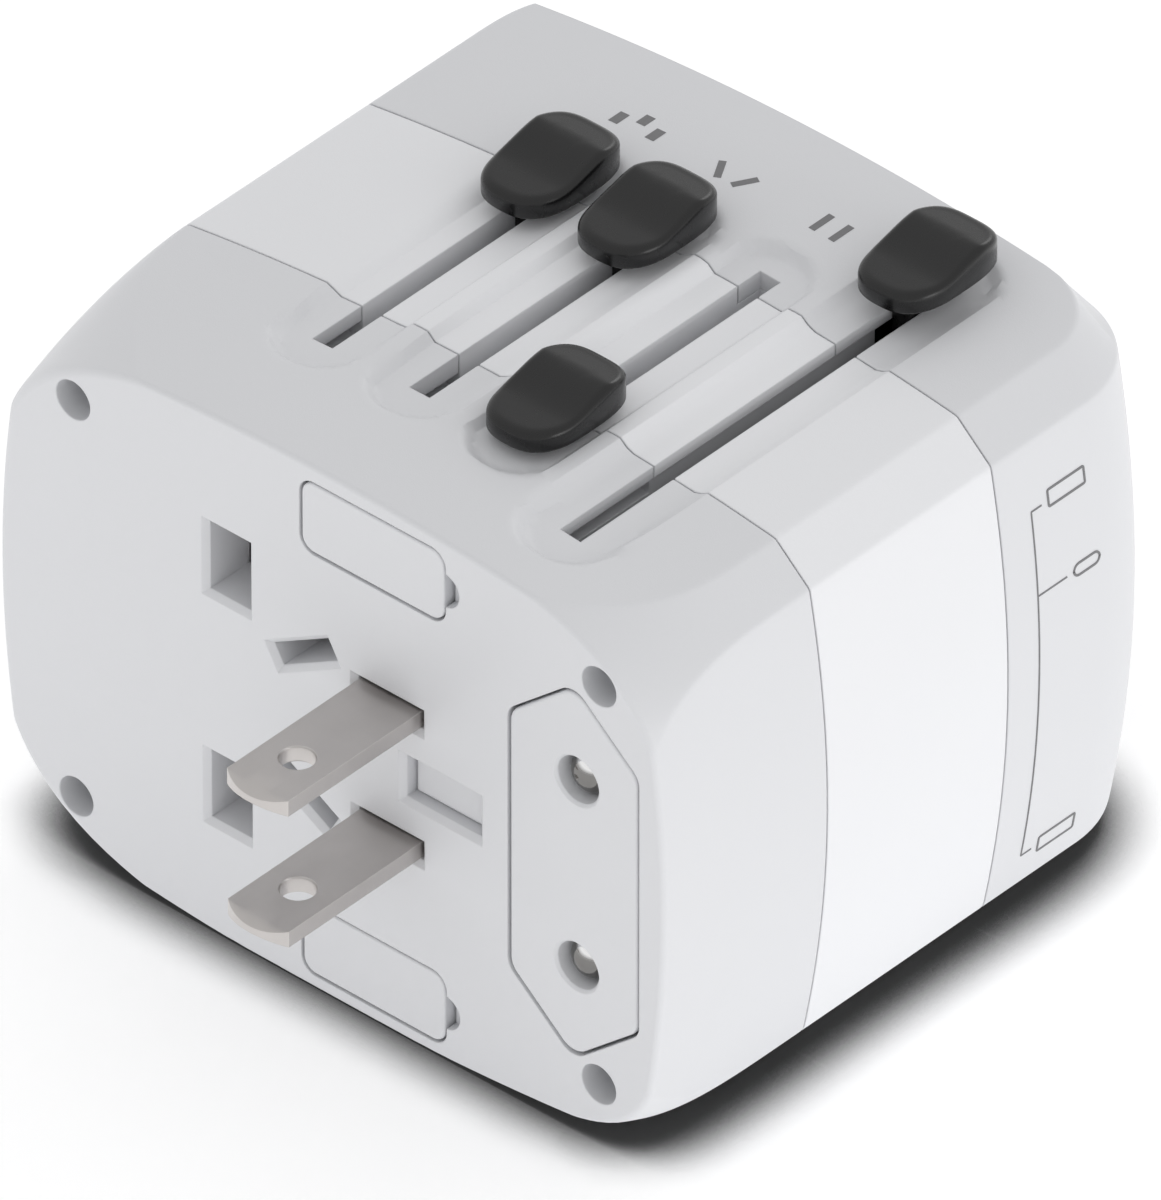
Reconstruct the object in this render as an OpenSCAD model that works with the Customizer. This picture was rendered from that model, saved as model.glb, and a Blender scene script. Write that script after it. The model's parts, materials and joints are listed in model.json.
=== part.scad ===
// Universal travel adapter: a three-piece rounded case, four sets of plug pins
// that thumb sliders push out of the front face, a sliding round-pin plug
// block, a multi-standard socket and three USB ports at the rear.
//
// Every sub-part is drawn in plug coordinates: X across the plug face, Y = 0 on
// the plug face and growing towards the socket, Z = 0 at mid height. placed()
// then moves it to the part's frame, whose origin is the centre of the flat
// rest face under the case.

/* [Case] */
// Width of the case, across the plug face
body_w = 69.4; // [69:0.2:70]
// Depth of the case, from plug face to socket face
body_d = 61; // [61:0.25:62]
// Height of the case between the crowns of its top and bottom arches
body_h = 51; // [51:0.2:52]
// Depth of the front cap
front_cap_d = 19; // [18.5:0.25:20]
// Depth of the middle band
band_d = 21; // [20.5:0.25:21.5]
// Thickness of the case walls
wall = 2.2; // [2:0.1:2.4]
// Height of the slice taken off the bottom arch for the rest face
rest_cut = 0.5; // [0.3:0.1:0.8]
// Line of clearance between two case shells
seam_gap = 0.15; // [0.05:0.05:0.2]

/* [Plug pins] */
// Distance between the line and neutral pins of the rectangular-pin plug
uk_pitch = 22.2; // [22:0.1:22.4]
// Distance between the slanted pins
aus_pitch = 13.6; // [13.4:0.1:13.8]
// Slant of the slanted pins
aus_slant = 30; // [29:1:32]
// Distance between the flat blades
usa_pitch = 12.7; // [12.5:0.1:12.9]
// Distance between the round pins
eu_pitch = 18; // [17.8:0.1:18.6]
// Length of flat blade outside the plug face
usa_reach = 15.9; // [15.2:0.1:16.2]

/* [Sliders] */
// Stroke of the three short sliders
short_stroke = 21.8; // [21.2:0.2:21.8]
// Stroke of the round-pin plug block
block_stroke = 16.2; // [15.8:0.1:16.2]
// Stroke of the round pins inside their block
eu_pin_stroke = 20.5; // [20:0.1:20.5]
// Width of the slots in the case top
slot_w = 2.1; // [2.1:0.1:2.4]
// Distance between neighbouring slots
slot_pitch = 10.1; // [9.9:0.1:10.2]
// Depth of the finger groove round each slot
groove_depth = 0.75; // [0.5:0.05:0.8]
// Length of a knob along its slot
knob_l = 11.5; // [10.5:0.25:11.75]
// Width of a knob
knob_w = 7.8; // [7:0.1:8]

/* [Hidden] */
$fn = 64;

fit = 0.02;            // gap between pieces that are pressed or glued together
slide_gap = 0.25;      // gap round a piece that slides in an opening
over = 1;              // how far a cutter runs past the face it cuts
slice_t = 0.05;        // thickness of the sections that a case shell is stretched over
half_w = body_w / 2;
half_h = body_h / 2;
rest_z = -half_h + rest_cut;
rear_cap_y = front_cap_d + band_d;
side_r = 107;          // crown of the side faces
arch_r = 215;          // crown of the top and bottom faces
body_x = -0.7;         // the case's middle stands a little left of the pins' middle
// A long edge is [x, z, bulge]: it leaves the arch at x and meets the side at z,
// and bulges from a straight bevel, 0, to a full rounding, 1
bevel_edge = [29.2, 20.3, 0];     // the right top edge behind the nose
round_edge = [31.6, 22.2, 1];     // the other three
nose_right = [21, 15.5, 0.74];    // the edges at the plug face
nose_low = [25, 17.5, 0.8];
nose_left = [19.9, 15, 0.68];
nose_d = 19;           // depth over which the edges leave the nose,
nose_power = [4, 1.7]; // quickly on the right and slowly on the left
rim = 0.45;            // rounding of the plug face's rim
rim_left = 0.9;        // and on its left side
corner_x = 22.6;       // centre line of the rounded right rear corner
corner_r = 10;         // its plan radius
left_corner = 3;       // how far the left rear corner is drawn in
tail_bevel_d = 2.8;    // bevel along the top and bottom rear edges
tail_bevel_h = 3.6;
inner_top = 22.5;      // flat ceiling and floor inside the case
comb_y = [10.6, 45.2]; // ends of the comb that carries the band's top strips
comb_z = 20.4;

screw_x = 27.3;
screw_z = 19.3;
screw_hole_r = 1.775;
screw_head_y = 10.2;
screw_head_h = 1.8;
screw_shank_r = 1;
screw_l = 20;
post_r = 2;
post_y = 15.2;

slot_x = [for (i = [0:3]) -13.3 + i * slot_pitch];
slot_front = 13.3;
slot_rear = 42.6;
eu_slot_front = 8.2;
eu_slot_rear = 52.6;
groove_r = 4.4;
stem_w = 1.9;
stem_half_l = 2.8;
knob_front_y = 17.6;                       // knob centre with the pins fully out
knob_rear_y = knob_front_y + short_stroke; // and fully in
eu_knob_y = 49.3;
knob_lift = 1.45;      // gap between a knob and its groove

guide_d = 5;           // thickness of the plug face round the pin tunnels
lead = 0.5;            // bevel round the mouth of each tunnel
pin_gap = [0.25, 0.2]; // extra width and height of a tunnel over its pin
bar_t = 4;             // thickness of a carriage's cross bar
bar_front = guide_d + 0.1; // front of a cross bar when its pins are out
bar_rear = bar_front + short_stroke;
strip_z = 12.7;        // bottom of the arm that joins a cross bar to its knob
strip_h = 3;

uk_x = -11.3;
uk_pin = [4, 6.35];
uk_earth_x = uk_x + uk_pitch;
uk_earth_z = 0.1;
uk_earth_pin_size = [7.5, 3.8];
aus_x = -3.4;
aus_pin = [6.3, 1.6];
usa_x = 5.4;
usa_pin = [6.35, 1.5];
blade_hole_r = 1.5;
blade_hole_y = -10.3;
eu_x = 25;
eu_pin_r = 2;
block_x = 24.85;
block_d = 20;

cover_x = [-3.45, 11.3];
cover_z = [17.2, 23.8];
cover_t = 1.5;
cover_notch_r = 1.6;
fuse_x = 3.9;
fuse_y = 4.8;
fuse_z = 20.5;
fuse_r = 1.8;
fuse_l = 10;

socket_w = 33.6;       // socket insert in the rear face
socket_h = 34;
socket_x = -0.2;
socket_t = 2.4;
socket_pole_x = -11;
port_x = 21.5;         // column of USB ports
port_gap = 1.5;
usb_a = [5.1, 12.6, 14];
usb_c = [3.2, 8.9, 9];
shell_t = 0.35;

// ---------- helpers ----------

module placed() translate([0, -body_d / 2, -rest_z]) children();

// Stands a flat shape, drawn in X and Z, up across the case from y0 to y1
module across(y0, y1) translate([0, y1, 0]) rotate([90, 0, 0]) linear_extrude(y1 - y0) children();

// Box between two corners
module box(a, b) translate(a) cube(b - a);

module mirrored_z() {
    children();
    mirror([0, 0, 1]) children();
}

function mix(a, b, t) = a + (b - a) * t;
function side_at(z, inset) = half_w - side_r + sqrt(side_r * side_r - z * z) - inset;
function arch_at(x, inset) = half_h - arch_r + sqrt(arch_r * arch_r - x * x) - inset;
function bezier(a, b, c, t) = mix(mix(a, b, t), mix(b, c, t), t);

function fade(y, depth, power) = y < depth ? pow(1 - y / depth, power) : 0;
// How far a rounding of radii across and along has drawn the surface in at
// distance d from its end
function drawn_in(d, across, along) = d < along ? across * (1 - sqrt(1 - pow(1 - d / along, 2))) : 0;

// One quarter of the case's cross-section, from the side face up to the crown
function quarter(edge, inset_x, inset_z) =
    let (xa = edge.x,
         zs = min(edge.y, arch_at(xa, inset_z) - 0.8),
         a = [xa, arch_at(xa, inset_z)],
         s = [side_at(zs, inset_x), zs],
         slope_a = -xa / sqrt(arch_r * arch_r - xa * xa),
         slope_s = -zs / sqrt(side_r * side_r - zs * zs),
         tip_z = (a.y + slope_a * (s.x - slope_s * zs - xa)) / (1 - slope_a * slope_s),
         tip = [s.x + slope_s * (tip_z - zs), tip_z],
         turn = mix((a + s) / 2, tip, edge[2]))
    concat([for (i = [0:3]) [side_at(zs * i / 4, inset_x), zs * i / 4]],
           [for (i = [0:7]) bezier(s, turn, a, i / 7)],
           [for (i = [1:4]) let (x = xa * (1 - i / 5)) [x, arch_at(x, inset_z)]]);

function flipped(q, sx, sz) = [for (p = q) [p.x * sx, p.y * sz]];
function backwards(q) = [for (i = [len(q) - 1:-1:1]) q[i]];

// The whole section at depth y
function section(y) =
    let (d = body_d - y,
         right = drawn_in(y, rim, rim) + drawn_in(d, corner_r, corner_r),
         left = drawn_in(y, rim_left, rim_left) + left_corner * fade(d, corner_r, 4),
         inset_z = drawn_in(y, rim, rim) + max(0, tail_bevel_d - d) * tail_bevel_h / tail_bevel_d,
         at_right = fade(y, nose_d, nose_power.x),
         at_left = fade(y, nose_d, nose_power.y),
         plateau_r = bevel_edge.x - corner_x,
         plateau_x = bevel_edge.x - drawn_in(max(0, d - tail_bevel_d), plateau_r, plateau_r),
         top = mix(bevel_edge, nose_right, at_right),
         low = mix(round_edge, nose_low, at_right) - [right, 0, 0],
         side = mix(round_edge, nose_left, at_left) - [left, 0, 0],
         top_right = quarter([min(top.x, plateau_x), top.y, top[2]], right, inset_z),
         left_quarter = quarter(side, left, inset_z),
         low_right = quarter(low, right, inset_z))
    concat(top_right, [[0, arch_at(0, inset_z)]], backwards(flipped(left_quarter, -1, 1)),
           flipped(left_quarter, -1, -1), [[0, -arch_at(0, inset_z)]], backwards(flipped(low_right, 1, -1)));

module slice(y) across(y, y + slice_t) translate([body_x, 0]) polygon(section(y));

// Keeps the case above its flat rest face
module on_rest_face() intersection() {
    children();
    box([-half_w - over + body_x, -over, rest_z], [half_w + over, body_d + over, half_h + over]);
}

// Convex polygon with rounded corners, exact: the polygon through the tangent
// points plus a circle in each corner
function unit(v) = v / norm(v);
module rounded_polygon(p, r) {
    n = len(p);
    corners = [for (i = [0:n - 1])
        let (u = unit(p[(i + n - 1) % n] - p[i]), v = unit(p[(i + 1) % n] - p[i]),
             half = acos(u * v) / 2)
        [p[i] + u * r / tan(half), p[i] + v * r / tan(half), p[i] + unit(u + v) * r / sin(half)]];
    polygon([for (c = corners) each [c[0], c[1]]]);
    for (c = corners) translate(c[2]) circle(r);
}

module rounded_box(x, z, r) rounded_polygon([[x[0], z[0]], [x[1], z[0]], [x[1], z[1]], [x[0], z[1]]], r);

// Slot-shaped prism standing along Z, round ends at y0 and y1
module stadium(x, y0, y1, r, z0, z1) {
    box([x - r, y0, z0], [x + r, y1, z1]);
    for (y = [y0, y1]) translate([x, y, z0]) cylinder(r = r, h = z1 - z0);
}

// Rectangular tunnel for a plug pin, with a 45 degree lead-in all round its mouth
module pin_window(x, z, size, slant = 0) translate([x, 0, z]) rotate([0, slant, 0]) {
    box([-size.x / 2, -over, -size.y / 2], [size.x / 2, guide_d + over, size.y / 2]);
    intersection() {
        translate([0, 0, -size.y]) linear_extrude(2 * size.y) lead_in(size.x / 2);
        rotate([0, -90, 0]) translate([0, 0, -size.x]) linear_extrude(2 * size.x) lead_in(size.y / 2);
    }
}
module lead_in(half)
    polygon([[-half - lead - over, -over], [half + lead + over, -over], [half, lead], [-half, lead]]);

// ---------- case ----------

// Room inside the case between two depths
module cavity(y0, y1, corner = 0, side = 0) across(y0, y1)
    polygon([for (s = [[1, 1], [-1, 1], [-1, -1], [1, -1]])
             let (q = [[31.7 - side, 10 - corner], [30.4 - corner / 4 - side, 19.6 - corner],
                       [27.4 - corner - side, 21.9 - corner / 4], [23 - corner - side, inner_top]])
             each [for (i = [0:3]) let (k = s.x * s.y > 0 ? i : 3 - i) [s.x * q[k].x, s.y * q[k].y]]]);

// Slots and finger grooves, shared by the three shells
module slot_cutters() {
    for (i = [0:3]) {
        y0 = i < 3 ? slot_front : eu_slot_front;
        y1 = i < 3 ? slot_rear : eu_slot_rear;
        box([slot_x[i] - slot_w / 2, y0, inner_top - over], [slot_x[i] + slot_w / 2, y1, half_h + over]);
        difference() {
            stadium(slot_x[i], y0 + 0.2, y1 - 1, groove_r, inner_top, half_h + over);
            translate([body_x, -over, half_h - arch_r]) rotate([-90, 0, 0])
                cylinder(r = arch_r - groove_depth, h = body_d + 2 * over, $fn = 360);
        }
    }
}

// Outline of the round-pin plug block, grown by a gap
module block_outline(gap = 0) {
    tall = 17.9 + gap * 1.3;
    shoulder = 12.3 + gap * 0.5;
    half = 6.55 + gap;
    rounded_polygon([for (p = [[-half, -shoulder], [0, -tall], [half, -shoulder],
                               [half, shoulder], [0, tall], [-half, shoulder]]) p + [block_x, 0]], 1.8);
}

module fuse_bay_solid()
    box([cover_x[0] - 1.2, 0.5, cover_z[0] - 0.9], [cover_x[1] + 2.6, 8.2, inner_top + 0.6]);

module fuse_bay_cutter() {
    across(-over, cover_t + 0.1)
        rounded_box(cover_x + [-slide_gap, slide_gap], cover_z + [-slide_gap, slide_gap], 1.5);
    translate([cover_x[1], -over, fuse_z]) rotate([-90, 0, 0]) cylinder(r = cover_notch_r, h = over + 1.2);
    box([cover_x[0] + 0.8, 0, cover_z[0] + 0.8], [cover_x[1] - 0.8, 7.2, cover_z[1] - 0.8]);
}

module front_cap() placed() color([0.84, 0.84, 0.86]) difference() {
    union() {
        difference() {
            on_rest_face() hull() {
                for (y = [0, 0.08, 0.22, rim, rim_left, 2, 3.2, 4.6, 6.2, 8, 10.5, 13.5, 16.5])
                    slice(y);
                slice(front_cap_d - seam_gap / 2 - slice_t);
            }
            cavity(wall, 10, 2.5);
            cavity(9.9, front_cap_d + over);
        }
        mirrored_z() fuse_bay_solid();
        box([-15.6, 1, -15.6], [15.9, guide_d, 15.6]);
        for (x = [-screw_x, screw_x], z = [-screw_z, screw_z])
            translate([x, 1.5, z]) rotate([-90, 0, 0]) {
                cylinder(r = 2.05, h = 5);
                translate([0, 0, 4]) cylinder(r = 2.4, h = post_y - 5.55);
            }
    }
    slot_cutters();
    mirrored_z() {
        fuse_bay_cutter();
        pin_window(uk_x, uk_pitch / 2, uk_pin + pin_gap);
        pin_window(aus_x, aus_pitch / 2, aus_pin + pin_gap * 1.5, -aus_slant);
        pin_window(usa_x, usa_pitch / 2, usa_pin + pin_gap * 1.5);
    }
    pin_window(uk_earth_x, uk_earth_z, uk_earth_pin_size + pin_gap);
    across(-over, block_d + 3) block_outline(slide_gap);
    for (x = [-screw_x, screw_x], z = [-screw_z, screw_z]) translate([x, -over, z]) rotate([-90, 0, 0]) {
        cylinder(r = screw_hole_r, h = screw_head_y + screw_head_h + over);
        cylinder(r = screw_shank_r + 0.1, h = post_y + 2 * over);
    }
}

// The long slots part the band's top into strips, which a comb under the caps'
// front and rear edges joins again, clear of the stems' travel
module strip_comb() difference() {
    box([slot_x[0] - 4.7, comb_y[0], comb_z], [slot_x[3] - 1.6, comb_y[1], inner_top + 0.3]);
    for (y = [[comb_y[0] - over, front_cap_d + seam_gap / 2], [rear_cap_y - seam_gap / 2, comb_y[1] + over]])
        box([-half_w, y[0], inner_top - fit], [half_w, y[1], inner_top + over]);
    for (i = [0:2]) box([slot_x[i] - slot_w / 2, slot_front, comb_z - over],
                        [slot_x[i] + slot_w / 2, slot_rear, inner_top + over]);
}

module middle_band() placed() color([0.92, 0.92, 0.94]) {
    difference() {
        on_rest_face() across(front_cap_d + seam_gap / 2, rear_cap_y - seam_gap / 2)
            translate([body_x, 0]) polygon(section(front_cap_d));
        cavity(front_cap_d - over, rear_cap_y + over);
        slot_cutters();
    }
    strip_comb();
}

module rear_cap() placed() color([0.84, 0.84, 0.86]) difference() {
    union() {
        difference() {
            on_rest_face() hull() {
                slice(rear_cap_y + seam_gap / 2);
                for (d = [8.6, 7.4, 6.2, 5.1, 4.2, 3.5, tail_bevel_d, 2.3, 1.7, 1.1, 0.6, 0.25, slice_t])
                    slice(body_d - d);
            }
            cavity(rear_cap_y - over, 52);
            cavity(51.9, 55, 2, 1);
            cavity(54.9, 57.5, 4, 3);
            cavity(57.4, body_d - wall, 5, 5);
        }
        for (x = [-screw_x, screw_x], z = [-screw_z, screw_z])
            translate([x, post_y, z]) rotate([-90, 0, 0]) cylinder(r = post_r, h = 55.5 - post_y);
    }
    slot_cutters();
    across(body_d - wall - over, body_d + over)
        rounded_box([socket_x - socket_w / 2, socket_x + socket_w / 2], [-socket_h / 2, socket_h / 2], 3);
    for (z = port_z) translate([port_x, body_d - 8, z])
        port_opening(z == port_z[1] ? usb_c : usb_a, 8 + over, 0.15);
    for (x = [-screw_x, screw_x], z = [-screw_z, screw_z])
        translate([x, post_y - over, z]) rotate([-90, 0, 0])
            cylinder(r = screw_shank_r + 0.05, h = screw_l + 2 * over);
}

// Self-tapping screws that pull the rear cap's posts against the front cap
module case_screws() placed() color([0.62, 0.62, 0.64])
    for (x = [-screw_x, screw_x], z = [-screw_z, screw_z]) translate([x, screw_head_y, z]) rotate([-90, 0, 0])
        difference() {
            union() {
                cylinder(r = 1.65, h = screw_head_h);
                cylinder(r = screw_shank_r, h = screw_l + screw_head_h);
            }
            for (turn = [0, 90]) rotate(turn) translate([-1, -0.2, -over]) cube([2, 0.4, over + 0.9]);
        }

// ---------- rear socket ----------

// Openings that take every kind of plug pin, grown by a gap
module socket_openings(gap = 0) {
    for (s = [-1, 1]) {
        translate([socket_pole_x, s * uk_pitch / 2]) square([4.4, 7] + [gap, gap], center = true);
        translate([socket_pole_x, s * 9.5]) circle(r = 2.6 + gap / 2);
        translate([socket_pole_x, s * usa_pitch / 2]) square([7.4, 2.2] + [gap, gap], center = true);
        translate([socket_pole_x, s * aus_pitch / 2]) rotate(s * 30)
            square([7.4, 2.2] + [gap, gap], center = true);
        translate([socket_pole_x - 2.2 - gap / 2, s > 0 ? 5.5 : -9]) square([4.4 + gap, 3.5]);
    }
    translate([socket_pole_x + uk_pitch, 0]) square([8.6, 4.6] + [gap, gap], center = true);
    translate([socket_pole_x + 11.9, 0]) circle(r = 2.6 + gap / 2);
}

module socket_face() placed() color([0.2, 0.2, 0.21]) across(body_d - socket_t, body_d - 0.3) difference() {
    rounded_box([socket_x - socket_w / 2 + 0.1, socket_x + socket_w / 2 - 0.1],
                [-socket_h / 2 + 0.1, socket_h / 2 - 0.1], 2.9);
    socket_openings();
}

block_front = 31.6;
block_rear = body_d - socket_t - fit;
pin_depth = 18.5;      // how far a plug's pins reach into the socket

module contact_block() placed() color([0.9, 0.9, 0.88]) difference() {
    union() {
        box([-16, 44, -16], [15.8, block_rear, 16]);
        box([-15.5, block_front, -12.2], [8.5, 44.1, 12.2]);
    }
    across(body_d - pin_depth, body_d) socket_openings(1.4);
    for (s = [-1, 1])
        box([socket_pole_x - 4.4, 34, s * 9.8 - 5.6],
            [socket_pole_x + 4.4, body_d - 4, s * 9.8 + 5.6 - (s > 0 ? 0.4 : 0)]);
}

// Spring contact of one pole: two leaves joined by a bridge behind the pins
module pole_contact(s) {
    for (e = [-1, 1]) {
        x = socket_pole_x + e * 4.1;
        box([x - 0.2, 35, s * 8.7 - 3.4], [x + 0.2, 53, s * 8.7 + 3.4]);
    }
    box([socket_pole_x - 4.3, 34.6, s * 8.7 - 3.4], [socket_pole_x + 4.3, 35, s * 8.7 + 3.4]);
}
module live_contact() placed() color([0.78, 0.6, 0.3]) pole_contact(1);
module neutral_contact() placed() color([0.78, 0.6, 0.3]) pole_contact(-1);

// Rails that the retractable pins' tails run along
module live_busbar() placed() color([0.78, 0.6, 0.3]) {
    for (x = [slot_x[0] + 2, slot_x[1] + 2]) box([x, 9, 16.3], [x + 6, 44.5, 16.9]);
    box([slot_x[0] + 2, 44, 16.3], [slot_x[1] + 8, 50, 16.9]);
}
module neutral_busbar() placed() color([0.78, 0.6, 0.3]) box([-14, 9, -17], [11, 50, -16.4]);

// ---------- knobs, carriages and pins ----------

// Thumb knob: a low cap with a hump at the rear third and a scooped front, on a stem
module knob(x, y, stem_z) {
    top = arch_at(x - body_x, groove_depth) + knob_lift;
    half_l = knob_l / 2;
    translate([x, y, 0]) {
        intersection() {
            hull() for (i = [0:8]) {
                a = i / 8;
                grow = sqrt(1 - pow(1 - 2 * a, 4)) * 0.9 + 0.1;
                translate([0, 0, top + 3.9 * a]) linear_extrude(0.01)
                    resize([knob_w - 0.9 + 0.9 * grow, knob_l - 0.9 + 0.9 * grow])
                        circle(r = half_l, $fn = 40);
            }
            hull() {
                translate([-knob_w, 1.6, top + 1.7]) rotate([0, 90, 0]) cylinder(r = 2.2, h = 2 * knob_w);
                translate([-knob_w, -half_l - 2, top - 1]) cube([2 * knob_w, knob_l + 4, 3]);
            }
        }
        box([-stem_w / 2, -stem_half_l, stem_z], [stem_w / 2, stem_half_l, top + 0.2]);
    }
}

// Arm of a carriage, with the pocket that holds the knob's stem
module arm(x, bar_y, knob_y) difference() {
    box([x - 1.6, bar_y + bar_t - 0.5, strip_z], [x + 1.6, knob_y + stem_half_l + 1.2, strip_z + strip_h]);
    box([x - stem_w / 2 - fit, knob_y - stem_half_l - fit, strip_z + 1],
        [x + stem_w / 2 + fit, knob_y + stem_half_l + fit, strip_z + strip_h + over]);
}
stem_foot = strip_z + 1 + fit;

module pin_socket(x, z, size, y, slant = 0) translate([x, 0, z]) rotate([0, slant, 0])
    box([-size.x / 2 - fit, y - over, -size.y / 2 - fit],
        [size.x / 2 + fit, y + bar_t - 1 + fit, size.y / 2 + fit]);

module flat_pin(x, z, size, y0, y1, slant = 0) translate([x, 0, z]) rotate([0, slant, 0])
    box([-size.x / 2, y0, -size.y / 2], [size.x / 2, y1, size.y / 2]);

pin_foot = bar_t - 1;  // length of pin held in the cross bar
uk_tip = 5.2;          // how deep the retracted pins' tips stand behind the plug face
aus_tip = 4.8;

module uk_knob() placed() color([0.15, 0.15, 0.15]) knob(slot_x[0], knob_rear_y, stem_foot);
module uk_carriage() placed() color([0.3, 0.3, 0.32]) {
    y = bar_rear;
    difference() {
        union() {
            box([uk_x - 3.9, y, -15.9], [uk_x + 2.5, y + bar_t, strip_z + strip_h]);
            box([uk_x, y, -15.9], [uk_earth_x + 3.7, y + bar_t, -13]);
        }
        for (s = [-1, 1]) pin_socket(uk_x, s * uk_pitch / 2, uk_pin, y);
    }
    box([uk_earth_x - 1.8, y, -13.1], [uk_earth_x + 3.7, y + bar_t, uk_earth_z - 2.1]);
    box([uk_earth_x - 1.8, y + 2, uk_earth_z - 2.2], [uk_earth_x + 3.7, y + bar_t, uk_earth_z + 2]);
    arm(slot_x[0], y, knob_rear_y);
}
module uk_pins() placed() color([0.8, 0.78, 0.72])
    for (s = [-1, 1]) flat_pin(uk_x, s * uk_pitch / 2, uk_pin, uk_tip, bar_rear + pin_foot);
module uk_earth_pin() placed() color([0.84, 0.84, 0.86])
    flat_pin(uk_earth_x, uk_earth_z, uk_earth_pin_size, 1.6, bar_rear + 2 - fit);

module aus_knob() placed() color([0.15, 0.15, 0.15]) knob(slot_x[1], knob_rear_y, stem_foot);
module aus_carriage() placed() color([0.3, 0.3, 0.32]) {
    difference() {
        box([-8.2, bar_rear, -12.4], [0.8, bar_rear + bar_t, strip_z + strip_h]);
        for (s = [-1, 1]) pin_socket(aus_x, s * aus_pitch / 2, aus_pin, bar_rear, -s * aus_slant);
    }
    arm(slot_x[1], bar_rear, knob_rear_y);
}
module aus_pins() placed() color([0.8, 0.78, 0.72])
    for (s = [-1, 1])
        flat_pin(aus_x, s * aus_pitch / 2, aus_pin, aus_tip, bar_rear + pin_foot, -s * aus_slant);

module usa_knob() placed() color([0.15, 0.15, 0.15]) knob(slot_x[2], knob_front_y, stem_foot);
module usa_carriage() placed() color([0.3, 0.3, 0.32]) {
    y = bar_front;
    difference() {
        union() {
            mirrored_z() box([1.2, y, 3.4], [9.1, y + bar_t, 12.4]);
            box([1.2, y, -3.5], [6.9, y + bar_t, 3.5]);
            box([5, y, 12.3], [9.1, y + bar_t, strip_z + strip_h]);
        }
        for (s = [-1, 1]) pin_socket(usa_x, s * usa_pitch / 2, usa_pin, y);
    }
    arm(slot_x[2], y, knob_front_y);
}
module usa_blades() placed() color([0.66, 0.64, 0.63]) for (s = [-1, 1]) {
    nose = 1.05;
    bow = (pow(usa_pin.x / 2, 2) + nose * nose) / (2 * nose);
    translate([usa_x, 0, s * usa_pitch / 2]) difference() {
        union() {
            box([-usa_pin.x / 2, -usa_reach + nose, -usa_pin.y / 2],
                [usa_pin.x / 2, bar_front + pin_foot, usa_pin.y / 2]);
            intersection() {
                translate([0, -usa_reach + bow, -usa_pin.y / 2]) cylinder(r = bow, h = usa_pin.y, $fn = 128);
                box([-usa_pin.x / 2, -usa_reach - over, -usa_pin.y],
                    [usa_pin.x / 2, -usa_reach + nose, usa_pin.y]);
            }
        }
        translate([0, blade_hole_y, -usa_pin.y]) cylinder(r = blade_hole_r, h = 2 * usa_pin.y);
    }
}

eu_bar_y = block_d + eu_pin_stroke + 0.1;
eu_strip_z = 20.2;

module eu_knob() placed() color([0.15, 0.15, 0.15]) knob(slot_x[3], eu_knob_y, eu_strip_z + 0.3);
module eu_carriage() placed() color([0.3, 0.3, 0.32]) {
    difference() {
        box([19.2, eu_bar_y, -12], [30.8, eu_bar_y + bar_t, 12]);
        for (s = [-1, 1]) translate([eu_x, eu_bar_y - over, s * eu_pitch / 2]) rotate([-90, 0, 0])
            cylinder(r = eu_pin_r + fit, h = bar_t - 1 + over);
    }
    box([slot_x[3] - 0.9, eu_bar_y, 9], [20.9, eu_bar_y + bar_t, 21.2]);
    difference() {
        box([slot_x[3] - 1.2, eu_bar_y, 18.9], [20.9, eu_knob_y + stem_half_l + 1.2, 21.2]);
        box([slot_x[3] - stem_w / 2 - fit, eu_knob_y - stem_half_l - fit, eu_strip_z + 0.28],
            [slot_x[3] + stem_w / 2 + fit, eu_knob_y + stem_half_l + fit, inner_top]);
    }
}
module eu_pins() placed() color([0.85, 0.85, 0.86])
    for (s = [-1, 1]) translate([eu_x, 1.5, s * eu_pitch / 2]) {
        translate([0, eu_pin_r, 0]) sphere(r = eu_pin_r);
        translate([0, eu_pin_r, 0]) rotate([-90, 0, 0])
            cylinder(r = eu_pin_r, h = eu_bar_y + bar_t - 1 - 1.5 - eu_pin_r - fit);
    }

module eu_plug_body() placed() color([0.84, 0.84, 0.86]) difference() {
    union() {
        across(0, block_d) block_outline();
        box([block_x - 7.2, block_d - 1.5, -7.3], [block_x + 6.85, block_d, 7.3]);
    }
    for (s = [-1, 1]) translate([eu_x, -over, s * eu_pitch / 2]) rotate([-90, 0, 0]) {
        cylinder(r = eu_pin_r + 0.1, h = block_d + 2 * over);
        cylinder(r = 2.4, h = over + 1.2);
    }
}

// ---------- fuses ----------

module cover() {
    across(0, cover_t) rounded_box(cover_x, cover_z, 1.3);
    for (x = [cover_x[0] + 1, cover_x[1] - 1.7])
        box([x, cover_t - 0.1, fuse_z - 2], [x + 0.7, 6, fuse_z + 2]);
}
module cartridge_fuse() translate([fuse_x - fuse_l / 2, fuse_y, fuse_z]) rotate([0, 90, 0]) {
    translate([0, 0, 0]) cylinder(r = fuse_r, h = 2.2);
    translate([0, 0, 2.2]) cylinder(r = fuse_r - 0.15, h = fuse_l - 4.4);
    translate([0, 0, fuse_l - 2.2]) cylinder(r = fuse_r, h = 2.2);
}
module fuse_cover() placed() color([0.84, 0.84, 0.86]) cover();
module spare_fuse_cover() placed() color([0.84, 0.84, 0.86]) mirror([0, 0, 1]) cover();
module fuse() placed() color([0.85, 0.82, 0.72]) cartridge_fuse();
module spare_fuse() placed() color([0.85, 0.82, 0.72]) mirror([0, 0, 1]) cartridge_fuse();
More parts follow.
